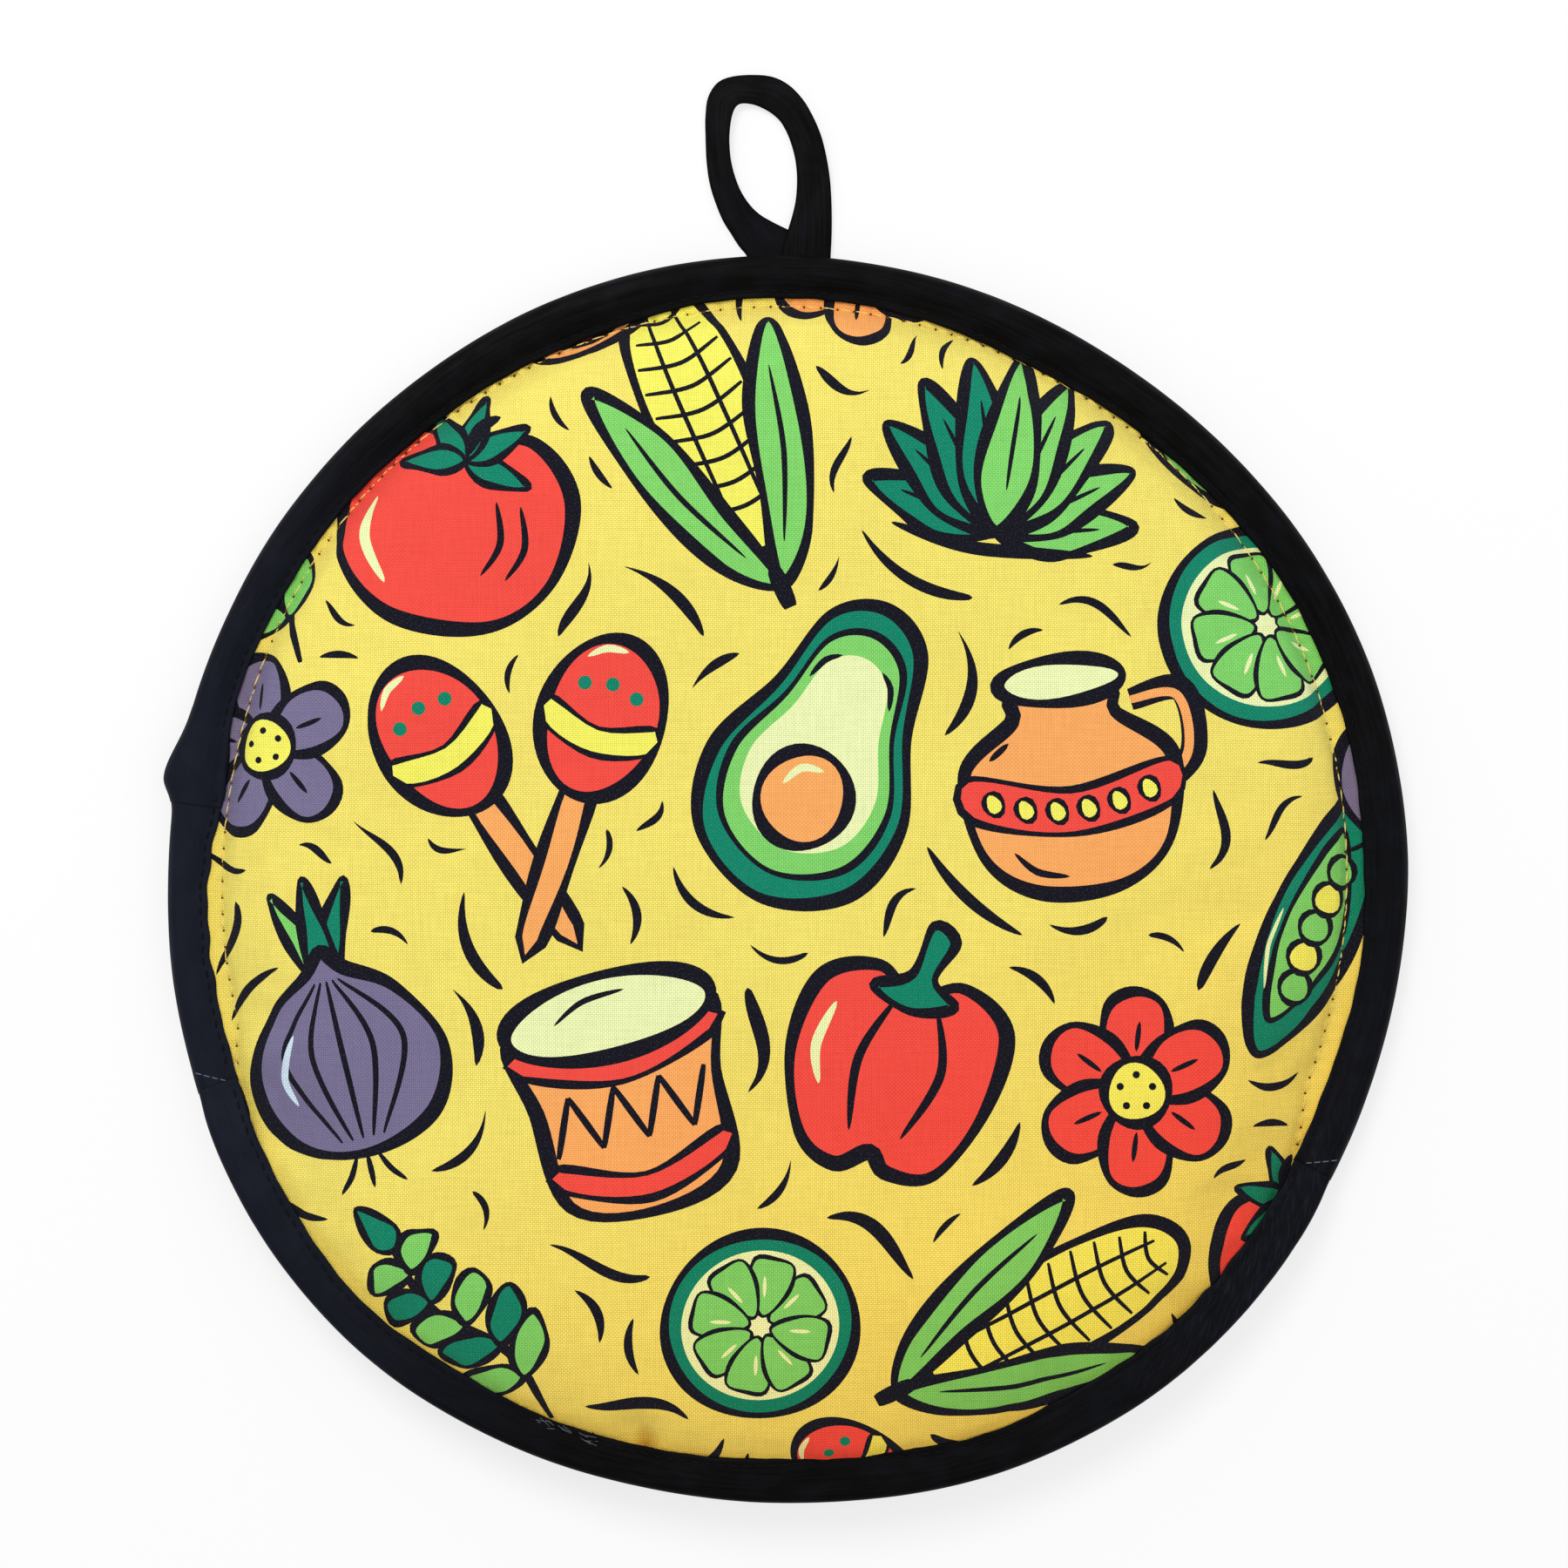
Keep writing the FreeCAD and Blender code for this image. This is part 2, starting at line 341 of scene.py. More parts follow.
class Shader:
    """A material's nodes, built by short calls that return sockets."""

    def __init__(self, name, **plain):
        self.material = bpy.data.materials.new(name)
        self.material.use_nodes = True
        self.tree = self.material.node_tree
        self.surface = self.tree.nodes["Principled BSDF"]
        for socket, value in plain.items():
            self.surface.inputs[socket.replace("_", " ")].default_value = value

    def node(self, kind, **settings):
        made = self.tree.nodes.new("ShaderNode" + kind)
        for name, value in settings.items():
            setattr(made, name, value)
        return made

    def feed(self, sockets, *values):
        for socket, value in zip(sockets, values):
            if isinstance(value, bpy.types.NodeSocket):
                self.tree.links.new(value, socket)
            else:
                socket.default_value = value

    def math(self, operation, *values):
        made = self.node("Math", operation=operation)
        self.feed(made.inputs, *values)
        return made.outputs[0]

    def plus(self, a, b):
        return self.math("ADD", a, b)

    def minus(self, a, b):
        return self.math("SUBTRACT", a, b)

    def times(self, a, b):
        return self.math("MULTIPLY", a, b)

    def over(self, a, b):
        return self.math("DIVIDE", a, b)

    def length(self, a, b):
        return self.math("SQRT", self.plus(self.times(a, a), self.times(b, b)))

    def ridges(self, value):
        """Rounded ridges from 0 to 1, one to each half turn of the value."""
        return self.math("ABSOLUTE", self.math("SINE", value))

    def attribute(self, name, output):
        return self.node("Attribute", attribute_name=name).outputs[output]

    def cloth(self):
        """Where a point lies on its cloth, in mm, and how creased the cloth is there."""
        split = self.node("SeparateXYZ")
        self.feed(split.inputs, self.attribute("cloth", "Vector"))
        return split.outputs

    def grain(self, x, y, size_x, size_y, detail=2.0):
        """Noise from 0 to 1 whose grains are about this long each way."""
        join = self.node("CombineXYZ")
        self.feed(join.inputs, self.over(x, size_x), self.over(y, size_y))
        made = self.node("TexNoise", noise_dimensions="3D")
        named = [made.inputs[name] for name in ("Vector", "Scale", "Detail")]
        self.feed(named, join.outputs[0], 1.0, detail)
        return made.outputs["Fac"]

    def mix(self, share, a, b, blend="MIX"):
        made = self.node("Mix", data_type="RGBA", blend_type=blend)
        self.feed([made.inputs[i] for i in (0, 6, 7)], share, a, b)
        return made.outputs[2]

    def tint(self, base, by, share=1.0):
        return self.mix(share, base, by, "MULTIPLY")

    def spread(self, value, low, high, start=0.0, end=1.0):
        """The value, moved from one range to another and held in it."""
        made = self.node("MapRange")
        self.feed(made.inputs, value, low, high, start, end)
        return made.outputs[0]

    def weave(self, x, y, pitch, weft_share):
        """Height from 0 to 1 of a plain weave: each yarn goes over and under its neighbours."""
        u, v = self.over(x, pitch), self.over(y, pitch)
        across, along = self.ridges(self.times(u, math.pi)), self.ridges(self.times(v, math.pi))
        count = self.plus(self.math("FLOOR", u), self.math("FLOOR", v))
        above = self.math("FLOORED_MODULO", count, 2.0)
        warp = self.times(self.math("POWER", across, 0.6), self.spread(along, 0, 1, 0.45, 1.0))
        weft_reach = self.spread(across, 0, 1, 0.4 * weft_share, weft_share)
        weft = self.times(self.math("POWER", along, 0.6), weft_reach)
        return self.plus(self.times(warp, above), self.times(weft, self.minus(1.0, above)))

    def complete(self, colour, roughness, height, strength, depth):
        """The material, with a bump this deep in mm."""
        bump = self.node("Bump")
        named = [bump.inputs[name] for name in ("Height", "Strength", "Distance")]
        self.feed(named, height, strength, depth * MM)
        named = [self.surface.inputs[name] for name in ("Base Color", "Roughness", "Normal")]
        self.feed(named, colour, roughness, bump.outputs[0])
        return self.material


def printed_cloth():
    """Cotton print: plain weave, uneven yarns, and ink that leaves the crowns of some yarns bare."""
    s = Shader("printed_cotton", Sheen_Weight=0.03, Sheen_Roughness=0.6, Specular_IOR_Level=0.08)
    x, y, _ = s.cloth()
    height = s.weave(x, y, yarn, 0.6)
    slubs = s.plus(s.grain(x, y, 0.7, 7.0), s.grain(x, y, 7.0, 0.7))
    toned = s.tint(s.attribute("ink", "Color"), s.spread(slubs, 0.7, 1.3, 0.93, 1.05))
    # Painted shade and highlight of the weave: darker between the yarns, lighter on their crowns.
    toned = s.tint(toned, s.spread(height, 0, 1, 0.62, 1.32))
    toned = s.tint(toned, s.spread(s.grain(x, y, 34.0, 34.0), 0.3, 0.7, 0.97, 1.02))
    # Painted shade: the cloth is made warmer and darker towards the lower right.
    painted_shade_slope = s.minus(s.times(x, 0.42), s.times(y, 0.9))
    toned = s.tint(toned, (1.04, 0.83, 0.62, 1.0), s.spread(painted_shade_slope, 15, 140))
    # Painted shade on the strip outside the seam, along the fold of the tape.
    toned = s.tint(toned, (1.0, 0.93, 0.80, 1.0), s.spread(s.length(x, y), 137, 141.5))
    # Painted shade in the deep dent at the front lip: brown, darkest at its middle.
    dent_x, dent_y = puckers[0][:2]
    far = s.length(s.minus(x, dent_x), s.times(s.minus(y, dent_y), 0.55))
    toned = s.tint(toned, (0.60, 0.42, 0.22, 1.0), s.spread(far, 0.2, 3.6, 1.0, 0.0))
    dark = s.spread(s.attribute("ink", "Fac"), 0.02, 0.30, 1.0, 0.0)
    crowns = s.spread(s.grain(x, y, 0.45, 0.45, 1.0), 0.52, 0.72, 0.0, 0.22)
    specks = s.times(s.times(crowns, height), s.spread(dark, 0, 1, 0.15, 1.0))
    bare = s.mix(dark, linear(246, 236, 190), linear(104, 108, 138))
    return s.complete(s.mix(specks, toned, bare), s.spread(height, 0, 1, 0.92, 0.8), height, 0.55, 0.16)


def lining_cloth():
    """Undyed cotton lining, with small darker flecks of seed."""
    s = Shader("natural_cotton", Sheen_Weight=0.15, Sheen_Roughness=0.6, Specular_IOR_Level=0.2)
    x, y, _ = s.cloth()
    height = s.weave(x, y, 0.5, 0.7)
    slubs = s.plus(s.grain(x, y, 0.6, 12.0), s.grain(x, y, 12.0, 0.6))
    base = s.mix(s.spread(slubs, 0.7, 1.3), linear(222, 211, 186), linear(243, 236, 218))
    flecks = s.spread(s.grain(x, y, 1.3, 0.8, 0.0), 0.70, 0.76, 0.0, 0.5)
    base = s.mix(flecks, base, linear(160, 132, 92))
    return s.complete(base, s.spread(height, 0, 1, 0.95, 0.82), height, 0.5, 0.16)


def tape_cloth():
    """Black bias tape: fine diagonal threads, a navy cast, a faint satin, paler rubbed places, painted light
    on the left and lower right of the edge, and painted highlights on its creases.
    """
    s = Shader("black_tape", Specular_IOR_Level=0.05)
    x, y, creased = s.cloth()
    ribs = s.ridges(s.times(s.plus(s.times(x, 0.8), s.times(y, 0.8)), math.pi / 0.42))
    streaks = s.grain(x, y, 16.0, 0.7)
    rubbed = s.spread(s.grain(x, y, 9.0, 5.0), 0.45, 0.75)
    base = s.mix(s.spread(streaks, 0.3, 0.7), linear(1, 1, 1), linear(9, 8, 8))
    wear_and_painted_light = s.times(rubbed, 0.15)
    # Painted light: the tape is made paler towards the left of the edge, and a little towards the lower
    # right.
    for angle, low, most in ((188, 0.5, 0.6), (335, 0.7, 0.16)):
        toward_lit_side = s.math("COSINE", s.minus(s.over(x, radius), math.radians(angle)))
        wear_and_painted_light = s.plus(wear_and_painted_light, s.spread(toward_lit_side, low, 1.0, 0.0, most))
    base = s.mix(wear_and_painted_light, base, linear(27, 31, 45))
    across = s.plus(s.times(x, 0.42), s.times(y, 0.91))
    along = s.minus(s.times(x, 0.91), s.times(y, 0.42))
    # Painted highlight: pale slanting lines where the tape is creased, also raised in its bump.
    highlit_crease_lines = s.spread(s.grain(across, along, 0.5, 6.0, 1.0), 0.5, 0.75, 0.0, 0.42)
    highlit_crease_lines = s.times(highlit_crease_lines, s.spread(creased, 0.3, 1.1))
    roughness = s.spread(s.plus(streaks, s.times(rubbed, 0.3)), 0.3, 1.0, 0.62, 0.44)
    height = s.plus(s.plus(s.times(ribs, 0.5), streaks), highlit_crease_lines)
    return s.complete(s.mix(highlit_crease_lines, base, linear(34, 37, 48)), roughness, height, 0.3, 0.10)


def thread(name, dark, light, shine):
    """Twisted sewing thread, whose plies show as slanting bands."""
    s = Shader(name, Specular_IOR_Level=shine)
    x, y, _ = s.cloth()
    plies = s.ridges(s.plus(s.times(x, 7.5), s.times(y, 5.0)))
    roughness = s.spread(s.grain(x, y, 0.4, 0.4), 0.3, 0.7, 0.75, 0.5)
    return s.complete(s.mix(plies, linear(*dark), linear(*light)), roughness, plies, 0.5, 0.08)


# ---- the print: flat shapes in painter's order

INKS = {
    "ground": linear(238, 221, 107),
    "ink": linear(16, 15, 26),
    "red": linear(240, 76, 66),
    "orange": linear(248, 168, 96),
    "lime": linear(126, 207, 104),
    "leaf": linear(6, 130, 102),
    "lilac": linear(118, 110, 144),
    "lemon": linear(241, 237, 98),
    "cream": linear(232, 242, 178),
    "sky": linear(206, 226, 238),
    # hole: painted shade in the needle holes of the seam
    "hole": linear(96, 66, 20),
}


def rounded(points, closed=True, gap=1.0):
    """A smooth line through given points, with a point about every gap."""
    points = np.array(points, float)
    count = len(points)
    spans = count if closed else count - 1
    line = []
    for i in range(spans):
        if closed:
            p = [points[(i + k) % count] for k in (-1, 0, 1, 2)]
        else:
            p = [points[min(max(i + k, 0), count - 1)] for k in (-1, 0, 1, 2)]
        steps = max(2, int(np.linalg.norm((p[2] - p[1])[:2]) / gap))
        for t in np.arange(steps) / steps:
            a = -p[0] + 3 * p[1] - 3 * p[2] + p[3]
            b = 2 * p[0] - 5 * p[1] + 4 * p[2] - p[3]
            line.append(p[1] + 0.5 * (t * (p[2] - p[0]) + t * t * b + t ** 3 * a))
    if not closed:
        line.append(points[-1])
    return np.array(line)


def oval(x, y, across, up, turn=0.0):
    steps = max(12, int(1.1 * (across + up)))
    a = np.arange(steps) * 2 * math.pi / steps
    dots = np.stack([across / 2 * np.cos(a), up / 2 * np.sin(a)], axis=1)
    return turned(dots, turn) + (x, y)


def turned(points, turn):
    c, s = math.cos(math.radians(turn)), math.sin(math.radians(turn))
    return np.array(points, float) @ np.array([[c, s], [-s, c]])


def mirrored(*side):
    """An outline from the points of one side, from end to end, that is the same on the other."""
    return list(side) + [(-x, y) for x, y in side[::-1] if x]


def normals(line, closed=True):
    """Which way the right-hand side of a line faces, at each point."""
    ahead = np.roll(line, -1, axis=0) - np.roll(line, 1, axis=0)
    if not closed:
        ahead = np.gradient(line, axis=0)
    side = np.stack([ahead[:, 1], -ahead[:, 0]], axis=1)
    return side / np.maximum(np.linalg.norm(side, axis=1), 1e-9)[:, None]


def grown(outline, by, uneven=0.0):
    """The outline moved outwards, more in some places than in others, as a brush line is."""
    x, y = outline[:, 0], outline[:, 1]
    area = np.sum(x * np.roll(y, -1) - y * np.roll(x, -1))
    wander = 1 + uneven * np.sin(np.arange(len(outline)) * 6 * math.pi / len(outline) + area)
    return outline + normals(outline) * (by * math.copysign(1, area) * wander)[:, None]


class Motif:
    """One drawing of the print, as (ink, outline) from the lowest to the highest."""

    def __init__(self):
        self.shapes = []

    def fill(self, ink, outline):
        self.shapes.append((ink, np.array(outline, float)))

    def patch(self, ink, outline, line=2.2):
        """A coloured shape with an ink line round it."""
        self.fill("ink", grown(outline, line / 2, 0.3))
        self.fill(ink, grown(outline, -line / 2, 0.3))

    def stroke(self, points, width=1.6, ink="ink", tips=0.1, skew=1.0):
        """A brush stroke through the points, as thin as tips at its ends. Skew moves its widest place."""
        line = rounded(points, closed=False)
        s = math.pi * np.linspace(0, 1, len(line)) ** skew
        half = width / 2 * (tips + (1 - tips) * np.sin(s) ** 0.7)
        side = normals(line, closed=False) * half[:, None]
        self.fill(ink, np.vstack([line + side, (line - side)[::-1]]))

    def placed(self, x, y, turn=0.0, size=1.0):
        return [(ink, turned(outline * size, turn) + (x, y)) for ink, outline in self.shapes]


def avocado():
    m = Motif()
    pear = rounded(mirrored((0, 29), (9, 24), (13, 9), (19, -7), (15, -22), (0, -29)))
    m.patch("leaf", pear)
    m.patch("lime", pear * 0.82, 1.2)
    m.fill("cream", pear * 0.66)
    m.patch("orange", oval(0, -9, 17, 18), 2.0)
    m.stroke([(-4.5, -8), (-2.5, -4), (1.5, -3)], 1.5, "cream")
    for side in (-1, 1):
        m.stroke([(side * 8, 12), (side * 6.5, 16), (side * 4, 18)], 1.2)
    return m


def lime_slice():
    m = Motif()
    m.patch("leaf", oval(0, 0, 46, 44))
    m.fill("cream", oval(0, 0, 38, 36))
    for i in range(8):
        wedge = rounded([(2.5, 0), (9, -4.6), (15.5, -4.8), (16.5, 0), (15.5, 4.8), (9, 4.6)])
        m.patch("lime", turned(wedge, i * 45 + 12), 0.9)
        m.stroke(turned([(7, 0.6), (12, 1.6)], i * 45 + 12), 0.9, "cream")
    return m


def tomato():
    m = Motif()
    body = [(0, 17), (13, 19), (23, 9), (22, -8), (11, -19), (-9, -20), (-22, -9), (-23, 8), (-13, 19)]
    m.patch("red", rounded(body), 2.6)
    for turn in range(-100, 101, 50):
        m.patch("leaf", turned(rounded([(0, 0), (3, 5), (0.5, 14), (-2.5, 5)]), turn) + (0, 13), 1.3)
    m.stroke([(0, 14), (1.5, 20), (5, 23)], 3.0)
    m.stroke([(-17, 3), (-17, -6), (-11, -14)], 2.2, "cream")
    for x in (8, 13):
        m.stroke([(x, 6), (x + 2.5, -2), (x, -9)], 1.4)
    return m


def corn():
    m = Motif()
    cob = rounded(mirrored((0, 33), (7, 28), (10, 14), (10, -6), (7, -20), (0, -24)))
    m.patch("lemon", cob, 2.2)
    for x in (-3.6, 3.6):
        m.stroke([(x * 0.7, 28), (x, 12), (x, -18)], 0.9, tips=0.6)
    for y in range(-14, 28, 5):
        wide = 9 - max(0, y - 14) * 0.33
        m.stroke([(-wide, y + 1.2), (0, y - 0.8), (wide, y + 1.2)], 0.9, tips=0.6)
    for side in (-1, 1):
        husk = [(0, -31), (side * 9, -24), (side * 17, -4), (side * 19, 17), (side * 9, 4), (side * 4, -14)]
        m.patch("lime", rounded(husk), 2.0)
        m.stroke([(side * 4, -24), (side * 11, -8), (side * 15, 8)], 1.1)
    m.stroke([(0, -28), (0, -36)], 3.4, tips=0.7)
    return m


def maracas():
    m = Motif()
    for turn, shift in ((28, -9), (-24, 10)):
        parts = Motif()
        parts.patch("orange", rounded([(-2.2, -30), (2.2, -30), (2.6, 0), (-2.6, 0)], gap=3), 1.8)
        parts.patch("red", oval(0, 13, 22, 30), 2.2)
        band = [(-10, 9), (0, 6), (10, 9), (10.4, 14), (0, 11), (-10.4, 14)]
        parts.patch("lemon", rounded(band, gap=2), 1.0)
        for x in (-5, 0, 5):
            parts.fill("leaf", oval(x, 19.5 - abs(x) * 0.25, 2.6, 2.6))
        parts.stroke([(-6, 23), (-3, 25.5), (1, 26)], 1.4, "cream")
        m.shapes += parts.placed(shift, 0, turn)
    return m


def drum():
    m = Motif()
    body = [(-19, 14), (-17, 0), (-15, -18), (0, -22.5), (15, -18), (17, 0), (19, 14), (0, 9)]
    m.patch("orange", rounded(body, gap=2), 2.4)
    for y, width in ((9, 18.4), (-13, 15.8)):
        low = width * 0.985
        band = [(-width, y + 2.4), (0, y - 2.4), (width, y + 2.4), (low, y - 2), (0, y - 7), (-low, y - 2)]
        m.patch("red", rounded(band, gap=2), 1.3)
    zigzag = [(x, 1.5 if i % 2 else -9) for i, x in enumerate(np.linspace(-15, 15, 8))]
    for a, b in zip(zigzag, zigzag[1:]):
        m.stroke([a, ((a[0] + b[0]) / 2, (a[1] + b[1]) / 2), b], 1.3, tips=0.6)
    m.patch("cream", oval(0, 14.5, 39, 15), 2.4)
    m.stroke([(-10, 15), (-4, 18), (4, 18.5)], 1.1)
    return m


def agave():
    m = Motif()
    for i, turn in enumerate((-78, 78, -56, 56, -36, 36, -17, 17, 0)):
        tall = 36 - abs(turn) * 0.12
        leaf = rounded(mirrored((0, 0), (5.2, 9), (4.4, tall * 0.6), (0, tall)))
        m.patch("leaf" if i % 2 else "lime", turned(leaf, turn) + (0, -16), 1.9)
        m.stroke(turned([(0.6, 8), (0.3, tall * 0.75)], turn) + (0, -16), 0.9)
    m.stroke([(-20, -18), (-4, -20), (19, -17.5)], 2.6)
    return m


def onion():
    m = Motif()
    for lean in (-24, 26, 2):
        leaf = rounded([(-2.6, 0), (2.6, 0), (2.4, 9), (0.4, 19), (-2.4, 9)])
        m.patch("leaf" if lean < 10 else "lime", turned(leaf, lean) + (0, 16), 1.7)
    bulb = rounded(mirrored((0, 20), (4, 16), (13, 10), (20, -3), (15, -16), (0, -21)))
    m.patch("lilac", bulb, 2.4)
    for x in (-12, -6, 0, 6, 12):
        m.stroke([(x * 0.2, 14), (x * 1.05, 0), (x * 0.35, -18)], 1.2, tips=0.3)
    m.stroke([(-9.5, 5), (-13.5, -3), (-12, -9)], 1.6, "sky")
    for x in (-4, 0, 4):
        m.stroke([(x * 0.5, -21), (x, -25), (x * 1.7, -28)], 1.2)
    return m


def clay_pot():
    m = Motif()
    m.stroke([(13, 13), (23, 14), (24, 2), (16, -5)], 5.2, tips=0.8)
    m.stroke([(13, 13), (22, 13), (23, 2), (16, -5)], 1.8, "orange", 0.8)
    body = mirrored((-9, 16), (-10, 11), (-20, 2), (-18, -14), (-8, -22))
    m.patch("orange", rounded(body), 2.4)
    m.patch("red", rounded([(-19.5, 1), (0, -3), (19.5, 1), (19.5, -7), (0, -11.5), (-19.5, -7)], gap=2), 1.3)
    for x in range(-15, 16, 6):
        m.patch("lemon", oval(x, -7 + x * x * 0.012, 3.6, 4.6, 20), 0.9)
    m.patch("cream", oval(0, 18, 24, 8.5), 2.2)
    m.stroke([(-12, -14), (-8, -18), (-2, -19.5)], 1.4)
    m.stroke([(-11, 7), (-15, 4)], 1.3)
    return m


def bell_pepper(ink="red"):
    m = Motif()
    outline = [(0, 14), (9, 18), (19, 12), (19, -4), (13, -18), (4, -20), (0, -17), (-6, -21), (-14, -17),
               (-20, -2), (-18, 13), (-8, 18)]
    m.patch(ink, rounded(outline), 2.5)
    m.stroke([(-3, 13), (-7, 0), (-5, -14)], 1.8)
    m.stroke([(5, 13), (9, 1), (5, -13)], 1.8)
    m.stroke([(-14, 9), (-15.5, 0), (-13, -7)], 2.0, "cream")
    m.patch("leaf", rounded([(-8, 14), (0, 11), (8, 14), (3, 18), (5, 26), (0, 28), (-1.5, 18)]), 1.8)
    return m


def flower(ink, petals):
    m = Motif()
    for i in range(petals):
        petal = rounded(mirrored((0, 0), (6.2, 8), (5.6, 17), (0, 20)))
        m.patch(ink, turned(petal, i * 360 / petals), 1.9)
        m.stroke(turned([(0, 8), (0.7, 14)], i * 360 / petals), 1.1)
    m.patch("lemon", oval(0, 0, 13, 13), 1.8)
    for i in range(5):
        m.fill("ink", oval(*(turned([(0, 3.4)], i * 72)[0]), 1.5, 1.5))
    return m


def sprig():
    m = Motif()
    m.stroke([(-3, -30), (3, -12), (-2, 8), (3, 26)], 2.6, tips=0.4)
    for i, (x, y) in enumerate([(1, -18), (3, -9), (1, 0), (-1, 9), (1, 17)]):
        for side in (-1, 1):
            leaf = rounded([(0, 0), (4, 3.6), (12 - i, 3.2), (16 - i * 1.6, 0.5), (10, -3.6), (4, -2.8)])
            m.patch("leaf" if i % 2 else "lime", turned(leaf * (side, 1), side * 32) + (x, y), 1.4)
    m.patch("leaf", rounded(mirrored((0, 0), (3.6, 4), (0, 13))) + (2.5, 23), 1.4)
    return m


def pea_pod():
    m = Motif()
    pod = [(-31, 3), (-20, 10), (0, 13), (20, 10), (31, 4), (21, -5), (0, -9), (-20, -5)]
    m.patch("leaf", rounded(pod), 2.4)
    m.patch("lime", rounded([(-23, 3.5), (0, 9.5), (23, 4), (0, -5.5)]), 1.4)
    for x in (-14, -7, 0, 7, 14):
        m.patch("lemon" if x % 2 else "lime", oval(x, 2.2 - x * x * 0.006, 7.4, 7.6), 1.2)
    m.stroke([(30, 4), (35, 8), (40, 7)], 2.8, tips=0.3)
    m.stroke([(-17, 7.5), (-8, 10.5), (1, 11)], 1.0, "cream")
    return m


def front_layout():
    """Where the drawings lie on the front, as (motif, x, y, turn, size)."""
    return [
        (corn(), -17, 107, 24, 1.25), (tomato(), -80, 86, -12, 1.2), (agave(), 54, 104, -10, 1.25),
        (lime_slice(), 116, 62, 0, 1.1), (flower("lilac", 5), -126, 33, 10, 1.12),
        (maracas(), -62, 22, 6, 1.3), (avocado(), 9, 31, -24, 1.3), (clay_pot(), 68, 26, 6, 1.25),
        (pea_pod(), 130, -12, 66, 1.08),
        (onion(), -106, -40, 14, 1.2), (drum(), -38, -50, 14, 1.3), (bell_pepper(), 26, -44, -16, 1.25),
        (flower("red", 6), 84, -50, 0, 1.2), (lime_slice(), -6, -106, 20, 1.0), (corn(), 60, -104, -62, 1.2),
        (sprig(), -77, -106, 46, 1.05), (tomato(), 129, -91, 24, 1.05), (drum(), -55, 150, 24, 1.0),
        (flower("orange", 6), 18, 152, 0, 1.1), (bell_pepper("lime"), 110, 116, 30, 1.05),
        (onion(), 156, 28, -30, 1.0), (pea_pod(), -157, -6, 84, 0.95), (sprig(), -134, 78, 40, 1.0),
        (maracas(), 25, -159, 80, 1.0),
    ]


def back_layout():
    """The same drawings in another order, turned round the middle."""
    moved = []
    drawn = front_layout()
    for (_, x, y, turn, size), (motif, *_) in zip(drawn, drawn[15:] + drawn[:15]):
        spot = turned([(x, y)], 140)[0]
        moved.append((motif, spot[0], spot[1], turn + 60, size * 0.88))
    return moved


def shapes_of(layout):
    return [shape for motif, *place in layout for shape in motif.placed(*place)]


def clearance(line, others):
    """The shortest way from a line to other points."""
    return min(np.hypot(*(others - point).T).min() for point in line)


def accents(layout, seed):
    """Loose tapered brush strokes in the gaps, each round the nearest drawing and clear of them all."""
    rng = random.Random(seed)
    u = np.linspace(-1, 1, 9)
    round_dent = oval(-34, -136, 8, 8)
    drawn = np.vstack([outline for _, outline in shapes_of(layout)] + [round_dent])
    brushed = np.full((1, 2), 999.0)
    steps = np.arange(-20, 21) * accent_pitch
    spots = [(x + rng.uniform(-3, 3), y + rng.uniform(-3, 3)) for x in steps for y in steps]
    rng.shuffle(spots)
    for spot in spots:
        away = drawn - spot
        nearest = away[np.hypot(*away.T).argmin()]
        if math.hypot(*spot) > 148 or not 4.5 < math.hypot(*nearest) < 13:
            continue
        along = math.degrees(math.atan2(nearest[1], nearest[0])) + 90 + rng.uniform(-16, 16)
        for long in accent_lengths:
            wide = 0.9 + long * rng.uniform(0.06, 0.11)
            bow, wave = long * rng.uniform(0.06, 0.20), long * rng.choice((0.0, 0.0, 0.0, 0.10, -0.10))
            skew = rng.choice((0.7, 1.0, 1.0, 1.5))
            line = np.stack([u * long / 2, bow * (1 - u * u) + wave * u * (1 - u * u)], axis=1)
            line = turned(line, along) + spot
            if clearance(line, drawn) > 2.8 + wide / 2 and clearance(line, brushed) > 6.5:
                m = Motif()
                m.stroke(line, wide, tips=0.04, skew=skew)
                brushed = np.vstack([brushed, line])
                yield from m.shapes
                break


def inside(points, outline):
    """Whether each point is in the outline, by its winding number."""
    winding = np.zeros(len(points), int)
    for (x0, y0), (x1, y1) in zip(outline, np.roll(outline, -1, axis=0)):
        left = (x1 - x0) * (points[:, 1] - y0) - (points[:, 0] - x0) * (y1 - y0)
        winding += ((y0 <= points[:, 1]) & (points[:, 1] < y1) & (left > 0)).astype(int)
        winding -= ((y1 <= points[:, 1]) & (points[:, 1] < y0) & (left < 0)).astype(int)
    return winding != 0


def ring(r, gap, phase=0.0):
    count = max(6, int(2 * math.pi * r / gap))
    a = (np.arange(count) + phase) * 2 * math.pi / count
    return np.stack([r * np.cos(a), r * np.sin(a)], axis=1)


